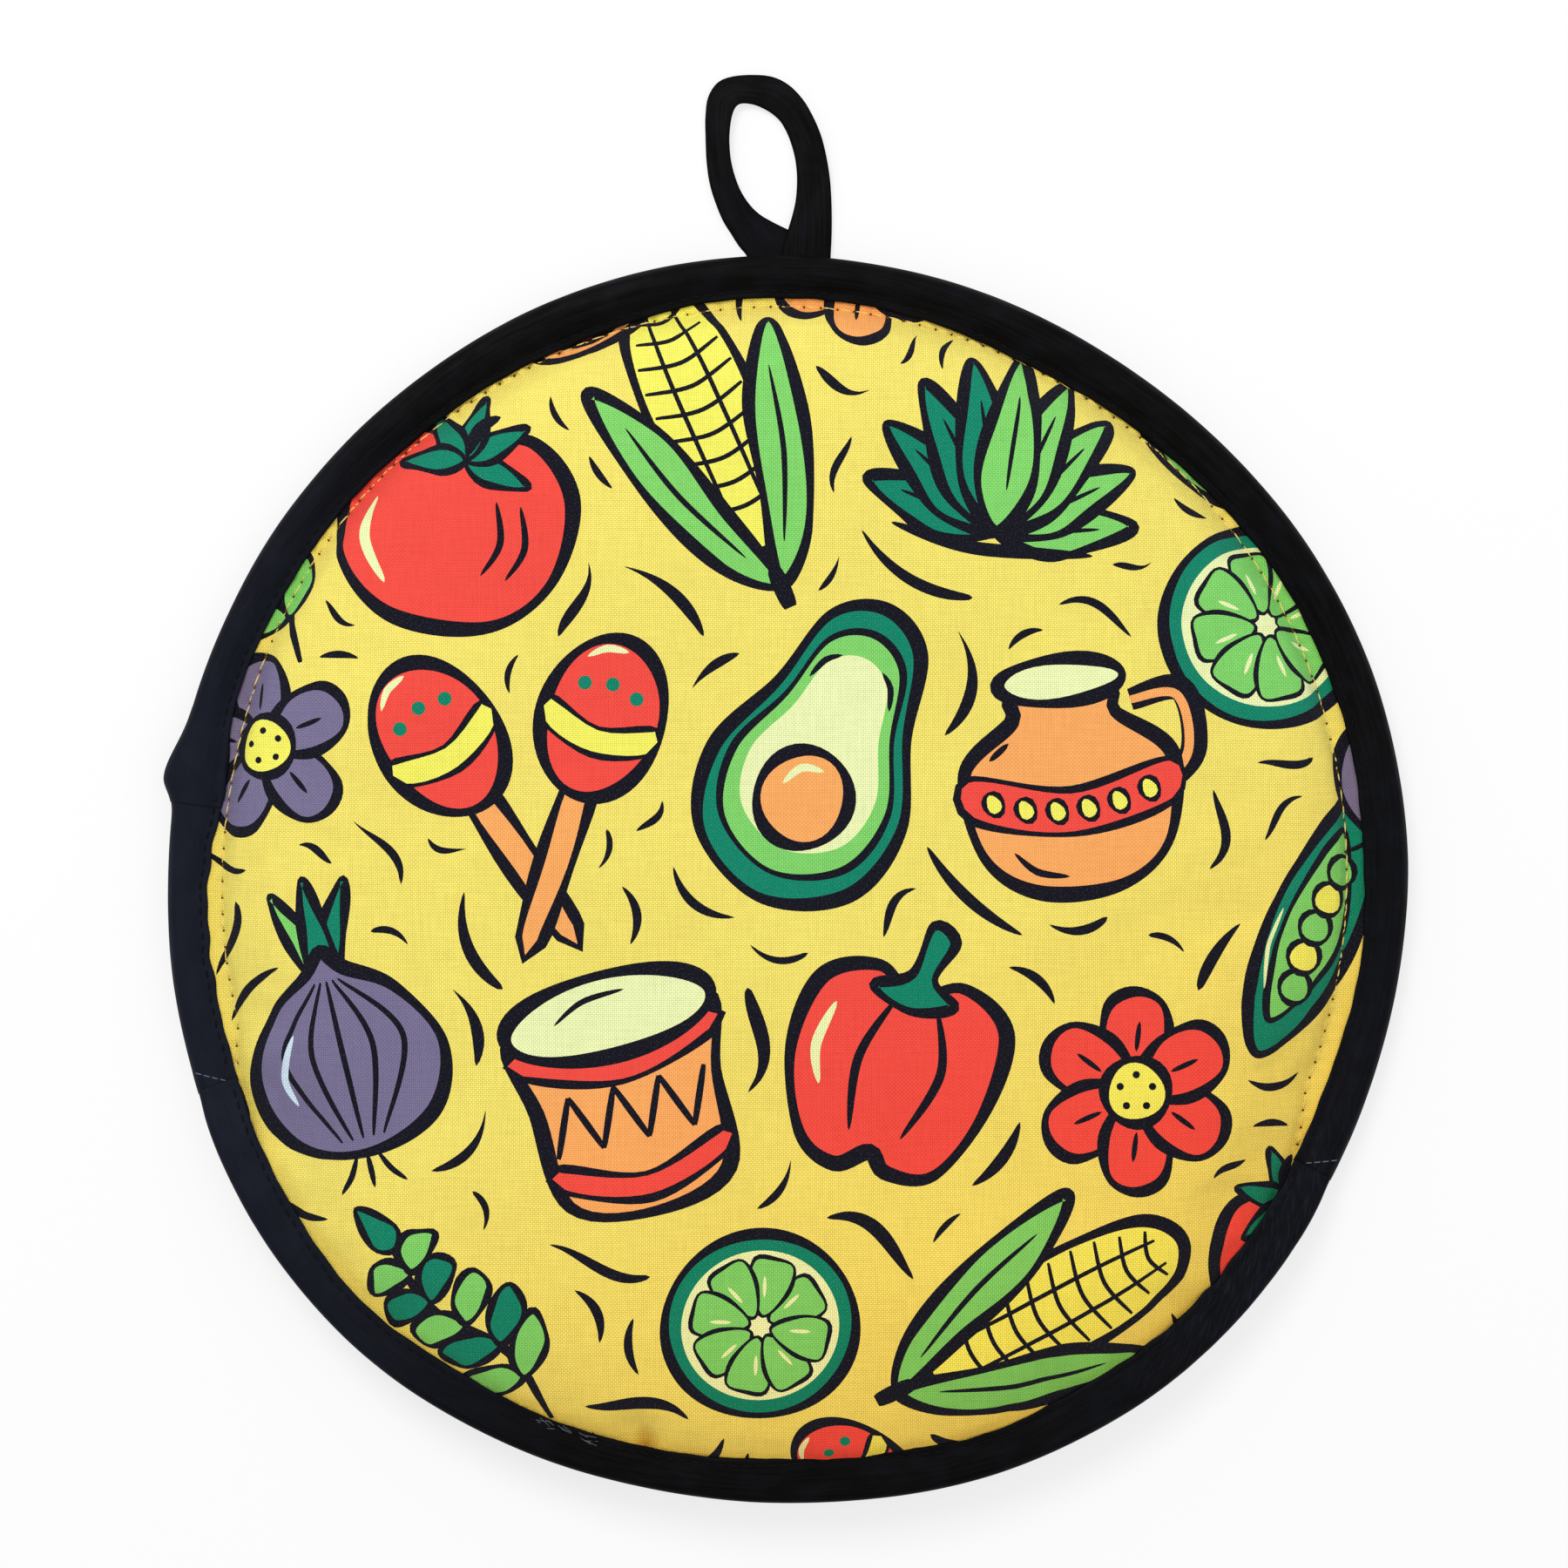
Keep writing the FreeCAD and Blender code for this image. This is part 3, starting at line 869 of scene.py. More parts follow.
def cut_disc(radii, gap, outlines, edge):
    """A flat disc as triangles that keep to the outlines: (points, triangles, places on the rim in order)."""
    rows = [np.zeros((1, 2))] + [ring(r, gap, (i % 2) / 2) for i, r in enumerate(radii)]
    loose = np.vstack(rows)
    if outlines:
        drawn = np.vstack(outlines)
        cell = 1.1                                     # loose points in a cell with an outline are left out
        cells = {tuple(c) for c in np.floor(drawn / cell).astype(int)}
        keep = [tuple(c) not in cells for c in np.floor(loose / cell).astype(int)]
        loose = loose[np.array(keep)]
    points, edges, count = [loose], [], len(loose)
    for outline in [edge] + outlines:
        n = len(outline)
        edges += [(count + i, count + (i + 1) % n) for i in range(n)]
        points.append(outline)
        count += n
    found = delaunay_2d_cdt([Vector(p) for p in np.vstack(points)], edges, [], 0, 1e-4)
    flat = np.array([tuple(v) for v in found[0]])
    faces = np.array([f for f in found[2] if len(f) == 3])
    faces = faces[inside(flat[faces].mean(axis=1), edge)]
    used, faces = np.unique(faces, return_inverse=True)
    flat, faces = flat[used], faces.reshape(-1, 3)
    sides = np.sort(np.vstack([faces[:, [0, 1]], faces[:, [1, 2]], faces[:, [2, 0]]]), axis=1)
    sides, uses = np.unique(sides, axis=0, return_counts=True)
    outer = np.unique(sides[uses == 1])
    outer = outer[np.argsort(np.arctan2(flat[outer, 1], flat[outer, 0]))]
    return flat, faces, outer


def inked(flat, faces, shapes):
    """The ink of each triangle: that of the highest shape over its middle."""
    middle = flat[faces].mean(axis=1)
    chosen = np.full(len(faces), -1)
    for i, (_, outline) in enumerate(shapes):
        low, high = outline.min(axis=0), outline.max(axis=0)
        near = np.nonzero(np.all((middle >= low) & (middle <= high), axis=1))[0]
        chosen[near[inside(middle[near], outline)]] = i
    return [INKS["ground"] if c < 0 else INKS[shapes[c][0]] for c in chosen]


# ---- the forms of the panels

def front_top(x, y):
    """Height of the front cloth before it is simulated."""
    r = np.hypot(x, y)
    m = mouth_share(x, y)
    free = lip_share(x, y)
    angle = np.degrees(np.arctan2(y, x))
    edge = np.minimum(seam_at(angle), radius - tape_width(angle) - 0.3)
    edge = edge + (radius - tape_show + 0.8 - edge) * m
    low = seam_z + stack + (front_lip_mid - stack / 2 - seam_z) * free
    share = np.clip((edge - r) / (front_run + 4 * m), 0, 1)
    puffed = np.sin(share * math.pi / 2) ** (0.80 + 0.10 * m)
    dip = edge_dip * (1 - free) * smooth((r - seam_radius) / 3.5)
    top = low + (top_z - low) * puffed + lift(x, y) - dip
    under = front_under(x, y)
    thick = np.maximum(top - under, 0.2)
    drawn_in = np.maximum(thick * np.exp(-puckered(x, y) / thick), np.minimum(thick, 0.8))
    return under + drawn_in


def front_under(x, y):
    """Height of the underside of the front padding. Near the lip it is raised as much as its tape."""
    r = np.hypot(x, y)
    edge = seam_radius - 3 + 3 * mouth_share(x, y)
    low = seam_z + 0.4 + (front_lip_mid - stack / 2 - seam_z) * lip_share(x, y)
    share = smooth((edge - r) / under_run)
    out = 1 + (radius / np.maximum(r, 1) - 1) * smooth((r - 134) / 6)
    return low + (ceiling_z - low) * share + lift(x * out, y * out)


def back_under(x, y):
    """Height of the back cloth: it lies flat and turns up to the edge."""
    r = np.hypot(x, y)
    share = smooth((r - (seam_radius - under_run)) / under_run)
    dip = edge_dip * (1 - mouth_share(x, y)) * smooth((r - seam_radius) / 5)
    return (seam_z - stack) * share + dip


def rings_out(finest, coarse, turn_from, end):
    """Radii of the rings of points: coarse in the middle and fine where the cloth turns down."""
    inner = np.arange(coarse, turn_from, coarse)
    return list(inner) + list(np.arange(turn_from, end - finest * 0.6, finest))


def simulated_swell(top):
    """How the front cloth moves when it is cut a little too large, filled and held at its edge."""
    outer = ring(held_radius, 3.8)
    grid, faces, _ = cut_disc(rings_out(3.2, 3.6, 118, held_radius), 3.8, [], outer)
    x, y = grid[:, 0], grid[:, 1]
    start = np.stack([x, y, top(x, y)], axis=1)
    piece = make_piece("front_pattern", start, faces, [])
    held = np.hypot(x, y) > seam_radius - 0.8 + 4.6 * mouth_share(x, y)
    group = piece.vertex_groups.new(name="held")
    group.add([int(i) for i in np.nonzero(held)[0]], 1.0, "REPLACE")
    cloth = piece.modifiers.new("Cloth", "CLOTH")
    settings = {
        "vertex_group_mass": "held", "quality": 6, "mass": 0.25, "tension_stiffness": 12,
        "compression_stiffness": 12, "shear_stiffness": 6, "bending_stiffness": 0.1, "shrink_min": -0.008,
        "use_pressure": True, "uniform_pressure_force": 0.6,
    }
    for name, value in settings.items():
        setattr(cloth.settings, name, value)
    cloth.settings.effector_weights.gravity = 0.0
    cloth.collision_settings.use_self_collision = False
    scene = bpy.context.scene
    for number in range(1, swell_frames + 1):
        scene.frame_set(number)
    moved = np.array([v.co for v in evaluated(piece).data.vertices]) / MM - start
    size = np.linalg.norm(moved, axis=1)
    moved *= (swell_cap * np.tanh(size / swell_cap) / np.maximum(size, 1e-9))[:, None]
    scene.frame_set(1)
    bpy.data.objects.remove(piece)
    return grid, faces, moved


def spread_out(grid, faces, values, x, y):
    """Values at the corners of a flat mesh, read smoothly at other places."""
    tree = BVHTree.FromPolygons([(px, py, 0.0) for px, py in grid], [tuple(int(i) for i in f) for f in faces])
    found = np.zeros((len(x), values.shape[1]))
    for i, spot in enumerate(zip(x, y)):
        place, _, index, _ = tree.find_nearest((spot[0], spot[1], 0.0))
        corners = faces[index]
        a, b, c = grid[corners]
        p = np.array(place[:2])
        whole = (b[0] - a[0]) * (c[1] - a[1]) - (c[0] - a[0]) * (b[1] - a[1])
        v = ((p[0] - a[0]) * (c[1] - a[1]) - (c[0] - a[0]) * (p[1] - a[1])) / whole
        w = ((b[0] - a[0]) * (p[1] - a[1]) - (p[0] - a[0]) * (b[1] - a[1])) / whole
        found[i] = (1 - v - w) * values[corners[0]] + v * values[corners[1]] + w * values[corners[2]]
    return found


def finer(grid, faces, moved, times=2):
    """The same flat mesh with rounded in-between points, so that the cloth shows no facets."""
    for _ in range(times):
        mesh = bpy.data.meshes.new("finer")
        mesh.from_pydata([(px, py, 0) for px, py in grid], [], faces.tolist())
        for k in range(3):
            column = mesh.attributes.new("m" + str(k), "FLOAT", "POINT")
            column.data.foreach_set("value", moved[:, k].astype(np.float32))
        piece = put("finer", mesh)
        piece.modifiers.new("Round", "SUBSURF").levels = 1
        shown = evaluated(piece).data
        shown.calc_loop_triangles()
        grid = np.array([v.co[:2] for v in shown.vertices])
        faces = np.array([t.vertices[:] for t in shown.loop_triangles])
        columns = []
        for k in range(3):
            column = np.zeros(len(grid), np.float32)
            shown.attributes["m" + str(k)].data.foreach_get("value", column)
            columns.append(column)
        moved = np.stack(columns, axis=1).astype(float)
        bpy.data.objects.remove(piece)
    return grid, faces, moved


def seam_arc(r, pitch):
    """Angles of the stitches of the closed seam, from one bar tack round to the other."""
    length = 2 * half_closed - 2.4
    count = int(math.radians(length) * r / pitch)
    return [first + half_mouth + 1.2 + length * (i + 0.5) / count for i in range(count)]


def seam_at(angle):
    """Radius of the seam: it runs out to the tape's fold round the top and under it at the bar tacks."""
    to_tack = half_closed - np.abs(turn_to(angle, first + 180))
    upper = 2.8 * bump_at(angle, 95, 72, 6) + 1.2 * bump_at(angle, 186, 16)
    return seam_radius + np.maximum(upper, 4.2 * smooth((7.5 - to_tack) / 7.5))


def seam_pull(x, y, spots):
    """How the stitches of the seam pull the cloth down, most at each needle hole."""
    r, angle = np.hypot(x, y), np.degrees(np.arctan2(y, x))
    spots = np.sort(np.mod(spots, 360))
    after = np.searchsorted(spots, np.mod(angle, 360)) % len(spots)
    off = np.minimum(np.abs(turn_to(angle, spots[after])), np.abs(turn_to(angle, spots[after - 1])))
    off = np.radians(off) * seam_radius
    near = np.exp(-((r - seam_at(angle)) / 1.6) ** 2) * (1 - mouth_share(x, y))
    return near * (0.28 + 0.6 * np.exp(-(off / 0.75) ** 2))


def rim_wall(upper, lower):
    """Faces between two rims, whose points are in the same order round the middle."""
    return list(zip(upper, np.roll(upper, -1), np.roll(lower, -1), lower))


def padded_panel(name, upper, under, shapes, printed_up, more=None):
    """A closed padded panel with the print on one face. More moves the points of that face."""
    outlines = [outline for _, outline in shapes]
    flat, faces, outer = cut_disc(rings_out(1.1, 2.6, 122, rim), 2.5, outlines, ring(rim, 2.2))
    plain, plain_faces, plain_outer = cut_disc(rings_out(3.0, 6.0, 114, rim), 5.0, [], flat[outer])
    printed, other = (upper, under) if printed_up else (under, upper)
    a = np.column_stack([flat, printed(flat[:, 0], flat[:, 1])])
    b = np.column_stack([plain, other(plain[:, 0], plain[:, 1])])
    cloth = np.vstack([a, b])
    if more is not None:
        a = more(a)
    points = hand_sewn(np.vstack([a, b]))
    wall = rim_wall(outer, plain_outer + len(flat))
    every = [tuple(f) for f in faces] + [tuple(f + len(flat)) for f in plain_faces] + wall
    unprinted = len(plain_faces) + len(wall)
    inks = inked(flat, faces, shapes) + [INKS["cream"]] * unprinted
    kinds = [0] * len(faces) + [1] * unprinted
    return closed_piece(name, points, every, [cotton, natural], cloth, kinds, inks)


def thin_sheet(name, height):
    """A closed thin round sheet, for a lining."""
    flat, faces, outer = cut_disc(rings_out(2.0, 4.0, 112, rim), 3.6, [], ring(rim, 3.0))
    top = np.column_stack([flat, height(flat[:, 0], flat[:, 1])])
    points = hand_sewn(np.vstack([top, top - (0, 0, lining_thick)]))
    n = len(flat)
    every = [tuple(f) for f in faces] + [tuple(f[::-1] + n) for f in faces] + rim_wall(outer, outer + n)
    return closed_piece(name, points, every, [natural], np.vstack([top, top]))


# ---- bias tape

def tape_width(angle):
    """How wide the tape shows on each face."""
    wide = tape_show + 0.25 * np.sin(np.radians(angle * 11)) + 0.2 * np.sin(np.radians(angle * 17 + 40))
    uneven = 0.05 + 0.10 * bump_at(angle, 318, 16) + 0.16 * bump_at(angle, 184, 12)
    wide = wide + uneven * (np.sin(np.radians(angle * 61)) + np.sin(np.radians(angle * 97 + 70)))
    return wide + sum(more * bump_at(angle, at, spread) for at, more, spread in tape_swells)


def tape_height(s, v, creased, seed):
    """How far creases raise the tape at the places v across it, at the place s along it."""
    soft = unevenness([(s / 30, p / 16, 0) for p in v], seed)
    slanted = [(0.42 * s + 0.91 * p, 0.91 * s - 0.42 * p) for p in v]
    slant = unevenness([(a / 2.6, b / 13, 0) for a, b in slanted], seed + 1)
    fine = unevenness([(a / 1.3, b / 8, 0) for a, b in slanted], seed + 2)
    calm = np.clip(1.6 - np.abs(v) / 11, 0.25, 1) * (0.15 + 0.85 * smooth((np.abs(v) - 1.0) / 5))
    return 0.26 * soft + calm * (creased * (0.30 * slant + 0.16 * fine) + 0.05 * slant)


def roll_line(inner, outer, half, held, end_flare):
    """The outside of a tape roll from front fold over nose to back fold, as (radius, height) points."""
    k, t = held / 2, tape_plies
    front = [
        (inner + 0.35, k + 0.02), (inner - 0.05, k + 0.22), (inner + 0.25, k + t * 0.98),
        (inner + 1.7, k + t * 0.86), (inner + 4.2, k + t + (half - k - t) * 0.72),
        (outer - half * 1.15, half), (outer - half * 0.42, half * 0.80),
    ]
    line = front + [(outer, 0.0)] + [(r, -z) for r, z in front[::-1]]
    shares = (0, 0, 0, 0, 0.05, 0.35, 0.8, 1, 0.8, 0.35, 0.05, 0, 0, 0, 0)
    line = [(r + share * end_flare, z) for (r, z), share in zip(line, shares)]
    return rounded(line, closed=False, gap=0.62)


def tape_piece(name, angles, middles, halves, helds, seed, flare, cover=None):
    """Tape rolled round an arc of the edge. Its section changes along the arc with the lists given.
    With cover it is a thin sleeve over such a roll, this thick along the arc."""
    rows, flats = [], []
    creases = 0.25 + 0.9 * bump_at(angles % 360, 322, 16)
    v = np.linspace(-tape_reach, tape_reach, tape_points)
    cover = [None] * len(angles) if cover is None else cover
    lists = (angles, middles, halves, helds, tape_width(angles), flare, creases, cover)
    for angle, middle, half, held, wide, more, creased, over in zip(*lists):
        line = roll_line(radius - wide, radius, half, held, more)
        at = np.linspace(0, len(line) - 1, tape_points)
        line = np.stack([np.interp(at, np.arange(len(line)), line[:, k]) for k in (0, 1)], axis=1)
        side = normals(line, closed=False)
        a = math.radians(angle)
        s = a * radius
        to_tack = min(abs(turn_to(angle, first + half_mouth)), abs(turn_to(angle, first - half_mouth)))
        out = tape_height(s, v, creased, seed) * smooth(to_tack / 3)
        line = line - side * out[:, None]
        if over is None:
            near, far, gap = radius - wide + 0.4, radius - 1.5, held / 2
            under, under_v = [(near, -gap), (far, -gap), (far, gap), (near, gap)], [13, 9, -9, -13]
        else:
            under, under_v = (line - side * 0.05)[::-1], v[::-1]
            line = line - side * over
        section = np.vstack([line, under])
        rows.append(np.column_stack([section[:, :1] * (math.cos(a), math.sin(a)), section[:, 1] + middle]))
        n = len(section)
        flats.append(np.column_stack([np.full(n, s), np.append(v, under_v), np.full(n, creased)]))
    faces = swept_faces(len(rows), len(rows[0]))
    return closed_piece(name, hand_sewn(np.vstack(rows)), faces, [tape_black], np.vstack(flats))


# ---- thread

class Skin:
    """The outside of a piece already made, to lay thread on."""

    def __init__(self, piece):
        points = np.array([v.co for v in piece.data.vertices]) / MM
        faces = [tuple(p.vertices) for p in piece.data.polygons]
        self.tree = BVHTree.FromPolygons(points.tolist(), faces)

    def heights(self, spots, sign):
        """Height of the skin at each spot, from above with sign 1 and from below with sign -1."""
        far = 90.0 * sign
        found = []
        for x, y in spots:
            place = self.tree.ray_cast((x, y, far), (0, 0, -sign))[0]
            found.append(np.nan if place is None else place[2])
        found = np.array(found)
        return np.where(np.isnan(found), np.nanmean(found), found)


def sewn(name, runs, skin, sign, material, thick=thread_radius):
    """Thread shown as short raised runs between needle holes. Each run is a pair of places on the skin."""
    swell = thick * np.array([0.55, 0.9, 1.0, 1.05, 1.0, 0.9, 0.55])
    bow = np.linspace(-1, 1, len(swell))
    rise = thick * (0.75 * (1 - bow ** 2) - 1.3 * np.abs(bow) ** 5)
    round_it = np.tile(np.arange(thread_sides) * 0.25, len(swell))
    parts, flats = [], []
    for i, (a, b) in enumerate(runs):
        spots = (a + b) / 2 + (b - a) / 2 * bow[:, None]
        level = np.median(skin.heights(spots, sign))
        path = np.column_stack([spots, level + sign * rise])
        parts.append(closed_tube(path, swell, thread_sides))
        along = np.repeat((bow + 1) * np.linalg.norm(b - a) / 2, thread_sides)
        flats.append(np.column_stack([along, round_it, np.full(len(along), i * 3.7)]))
    points, faces = joined(parts)
    return make_piece(name, points, faces, [material], np.vstack(flats))


def run_between(ends):
    """One run of thread between two places of a truly round pouch."""
    return hand_sewn([(x, y, 0) for x, y in ends])[:, :2]


def ring_runs(angles, r_of, share, lean):
    """Runs of thread along a ring, one at each angle, each covering a share of the pitch."""
    half = abs(turn_to(angles[1], angles[0])) * share / 2
    return [run_between([on_circle(r_of(a) + w, a) for a, w in ((angle - half, -lean), (angle + half, lean))])
            for angle in angles]


# ---- building it

cotton, natural = printed_cloth(), lining_cloth()
tape_black = tape_cloth()
yellow_thread = thread("yellow_thread", (214, 176, 78), (248, 222, 122), 0.2)
black_thread = thread("black_thread", (3, 3, 5), (14, 15, 20), 0.1)
pale_thread = thread("pale_thread", (46, 50, 62), (116, 122, 136), 0.1)

seam_angles = seam_arc(seam_radius, stitch_pitch)
step = turn_to(seam_angles[1], seam_angles[0])
holes = [a - step / 2 for a in seam_angles] + [seam_angles[-1] + step / 2]


def print_shapes(layout, seed):
    return list(accents(layout, seed)) + shapes_of(layout)


def level_face(z):
    """The height of a flat face, as a function of place."""
    return lambda x, y: np.full(len(x), z)


def front_cover():
    """The front panel. Its printed face is simulated, pulled down by the seam and a little uneven."""
    # Painted shade: a small dark brown oval at each needle hole.
    needle_hole_shades = [("hole", oval(*on_circle(float(seam_at(a)), a), 0.8, 0.6, a)) for a in holes]
    swell = finer(*simulated_swell(front_top))

    def dressed(points):
        x, y = points[:, 0].copy(), points[:, 1].copy()
        if swell is not None:
            near = np.clip((142.5 - np.hypot(x, y)) / 3, 0, 1)
            points = points + spread_out(*swell, x, y) * near[:, None]
        points[:, 2] -= seam_pull(x, y, holes)
        points[:, 2] += 0.35 * unevenness(np.stack([x / 34, y / 34, x * 0], axis=1), 3)
        return points

    shapes = print_shapes(front_layout(), 5) + needle_hole_shades
    return padded_panel("front_panel", front_top, front_under, shapes, True, dressed)


def lining(name, height, held, panel, *replaced, flap=False):
    """A lining, with the flat disc of cloth that it is cut from."""
    piece = thin_sheet(name, height)
    declare(piece, "lining_cloth", *replaced, flap=flap)


front = front_cover()
declare(front, "printed_cloth", "front_outer_fabric", "front_padding", "flap_outer_fabric", "flap_padding",
        flap=True)
lining("front_lining_sheet", lambda x, y: front_under(x, y) - lining_gap, "stretched", "front_panel",
       "front_lining", "flap_lining", flap=True)

back_shapes = print_shapes(back_layout(), 11)
back = padded_panel("back_panel", level_face(floor_z), back_under, back_shapes, False)
declare(back, "printed_cloth", "back_outer_fabric", "back_padding")
lining("back_lining_sheet", level_face(floor_z + lining_gap + lining_thick), "laid", "back_panel",
       "back_lining")


def closed_roll(name, angles, flare, cover=None):
    """Tape that holds both panels. It swells up to the end of the lap and drops behind it."""
    off = turn_to(angles, 170.5)
    flare = flare * np.exp(-np.abs(off / np.where(off < 0, 3.4, 1.7)) ** 2)
    ones = np.ones(len(angles))
    held = 2 * (stack - squeeze) * ones
    return tape_piece(name, angles, seam_z * ones, edge_half * ones, held, 1, flare, cover)


def edge_roll():
    """The tape of the closed edge, which ends just beyond the bar tacks."""
    end = first - half_mouth + 360.35
    angles = np.append(np.arange(first + half_mouth - 0.35, end, tape_step), end)
    return closed_roll("edge_tape", angles, 2.6)


def lip_roll(name, front_side, seed):
    """The tape of one lip. At the bar tacks it is squeezed to half of the closed edge's roll."""
    angles = np.arange(first - half_mouth, first + half_mouth + 0.2, tape_step)
    x, y = radius * np.cos(np.radians(angles)), radius * np.sin(np.radians(angles))
    free = lip_share(x, y)
    squeezed = edge_half / 2
    half = squeezed - 0.08 * (1 - free) ** 2 + (lip_half - squeezed) * free
    at_tack = seam_z + (squeezed if front_side else -squeezed)
    middle = at_tack + ((front_lip_mid if front_side else back_mid) - at_tack) * free
    if front_side:
        middle = middle + lift(x, y)
    held = np.minimum(stack, 2 * (half - tape_plies - 0.1))
    drawn_in = -0.45 * np.exp(-((half_mouth - np.abs(angles - first)) / 2.2) ** 2)
    return tape_piece(name, angles, middle, half, held, seed, drawn_in)


def end_lap():
    """The folded end of the tape, lapped over its start."""
    angles = np.arange(lap_start, lap_end, tape_step / 2)
    cover = 0.06 + 0.42 * smooth((angles - lap_start) / 4.5) - 0.36 * smooth((angles - 169.8) / 2.6)
    return closed_roll("tape_end_lap", angles, 2.9, cover)


edge_tape = edge_roll()
declare(edge_tape, "bias_tape", "edge_binding")
front_lip = lip_roll("front_lip_tape", True, 21)
declare(front_lip, "bias_tape", "front_lip_binding", flap=True)
back_lip = lip_roll("back_lip_tape", False, 31)
declare(back_lip, "bias_tape", "back_lip_binding")
declare(end_lap(), "bias_tape", "binding_end_lap")
edge_skin, front_lip_skin, back_lip_skin = Skin(edge_tape), Skin(front_lip), Skin(back_lip)


def seam_stitches():
    """The closed seam, as it shows on the front and on the back."""
    runs = ring_runs(seam_angles, seam_at, 0.78, 0.12)
    in_front = sewn("front_seam_stitches", runs, Skin(front), 1, yellow_thread)
    declare(in_front, "seam_thread", "front_seam_thread")
    declare(sewn("back_seam_stitches", runs, Skin(back), -1, yellow_thread), "seam_thread")


def tape_stitches():
    """The line of stitches that holds the tape, along its inner fold on both faces."""
    closed = seam_arc(edge_stitch_ring, edge_stitch_pitch)
    count = int(math.radians(2 * half_mouth - 3) * edge_stitch_ring / edge_stitch_pitch)
    lips = np.linspace(first - half_mouth + 1.5, first + half_mouth - 1.5, count)
    lines = (
        ("edge", closed, edge_skin), ("front_lip", lips, front_lip_skin), ("back_lip", lips, back_lip_skin),
    )
    for name, angles, skin in lines:
        runs = ring_runs(angles, lambda a: radius - tape_width(a) + edge_stitch_inset, 0.72, 0.1)
        for face, sign in (("top", 1), ("under", -1)):
            piece = sewn(name + "_stitches_" + face, runs, skin, sign, black_thread, 0.2)
            declare(piece, "seam_thread", flap=name == "front_lip")


def bar_tacks():
    """Thread over the roll where the two lips part, through to the back."""
    half_fold = radius * math.sin(math.radians(half_mouth))
    for name, side in (("left_bar_tack", 1), ("right_bar_tack", -1)):
        along = fold_along[:2] * side
        runs = []
        for k in range(4):
            outs = (k * tack_pitch, k * tack_pitch + tack_run)
            runs.append(run_between([
                hinge[:2] + along * (half_fold - tack_length + out) - beyond[:2] * (3.1 + 0.17 * out)
                for out in outs
            ]))
        declare(sewn(name + "_front", runs, edge_skin, 1, pale_thread, 0.15), "tack_thread", name)
        declare(sewn(name + "_back", runs, edge_skin, -1, pale_thread, 0.15), "tack_thread")


def lint():
    """A few pale fibres caught along the fold of the front lip's tape."""
    rng = random.Random(4)
    runs = []
    for _ in range(14):
        angle = 245.0 + rng.uniform(0, 6.5)
        r = radius - tape_width(angle) + rng.uniform(0.5, 2.6)
        half, lean = rng.uniform(0.8, 2.2), math.radians(angle + 90 + rng.uniform(-22, 22))
        middle = np.array(on_circle(r, angle))
        away = half * np.array([math.cos(lean), math.sin(lean)])
        runs.append(run_between([middle - away, middle + away]))
    declare(sewn("lint_fibres", runs, front_lip_skin, 1, pale_thread, 0.07), "seam_thread", flap=True)


seam_stitches()
tape_stitches()
bar_tacks()
lint()

# The loop's tape from its left tail over the top to its right tail: outer edge, inner edge and their heights.
loop_tape = (
    ((-7.6, 141.5), (2.6, 142.0), 0.5, 0.5), ((-8.4, 149.0), (3.0, 150.5), 0.5, 0.5),
    ((-9.3, 153.5), (3.4, 156.0), 0.5, 0.5), ((-11.5, 156.4), (2.2, 159.4), 0.5, 0.5),
    ((-13.4, 159.4), (-2.6, 162.0), 0.5, 0.6), ((-15.4, 162.6), (-6.4, 164.2), 0.6, 0.9),
    ((-17.2, 167.0), (-9.4, 167.3), 0.6, 1.4), ((-18.6, 171.6), (-11.6, 171.2), 0.6, 1.9),
    ((-19.4, 177.0), (-13.2, 176.6), 0.6, 2.3), ((-19.7, 182.8), (-13.7, 182.2), 0.6, 2.5),
    ((-19.7, 188.4), (-13.3, 187.2), 0.6, 2.5), ((-19.0, 193.0), (-12.4, 190.0), 0.7, 2.4),
    ((-16.6, 196.6), (-11.2, 191.1), 0.8, 2.2), ((-13.0, 198.0), (-9.6, 191.3), 0.9, 1.9),
    ((-8.2, 198.4), (-7.4, 190.9), 1.1, 1.6), ((-3.2, 197.9), (-5.2, 190.0), 1.4, 1.2),
    ((0.9, 195.8), (-3.2, 188.8), 1.9, 0.9), ((4.4, 192.1), (-1.2, 187.0), 2.3, 0.7),
    ((6.8, 188.0), (0.3, 184.5), 2.5, 0.6), ((8.8, 183.4), (1.5, 181.4), 2.4, 0.6),
    ((10.1, 178.4), (2.5, 177.4), 2.0, 0.7), ((11.0, 173.0), (2.9, 172.6), 1.6, 0.8),
    ((11.4, 167.4), (2.5, 167.2), 1.3, 1.0), ((11.5, 162.0), (1.2, 162.0), 1.1, 1.1),
    ((11.4, 157.4), (-0.4, 157.0), 1.1, 1.1), ((11.2, 153.5), (-1.1, 153.5), 1.1, 1.1),
    ((11.1, 149.0), (-0.8, 149.0), 1.1, 1.1), ((11.0, 142.0), (0.2, 142.0), 1.1, 1.1),
)


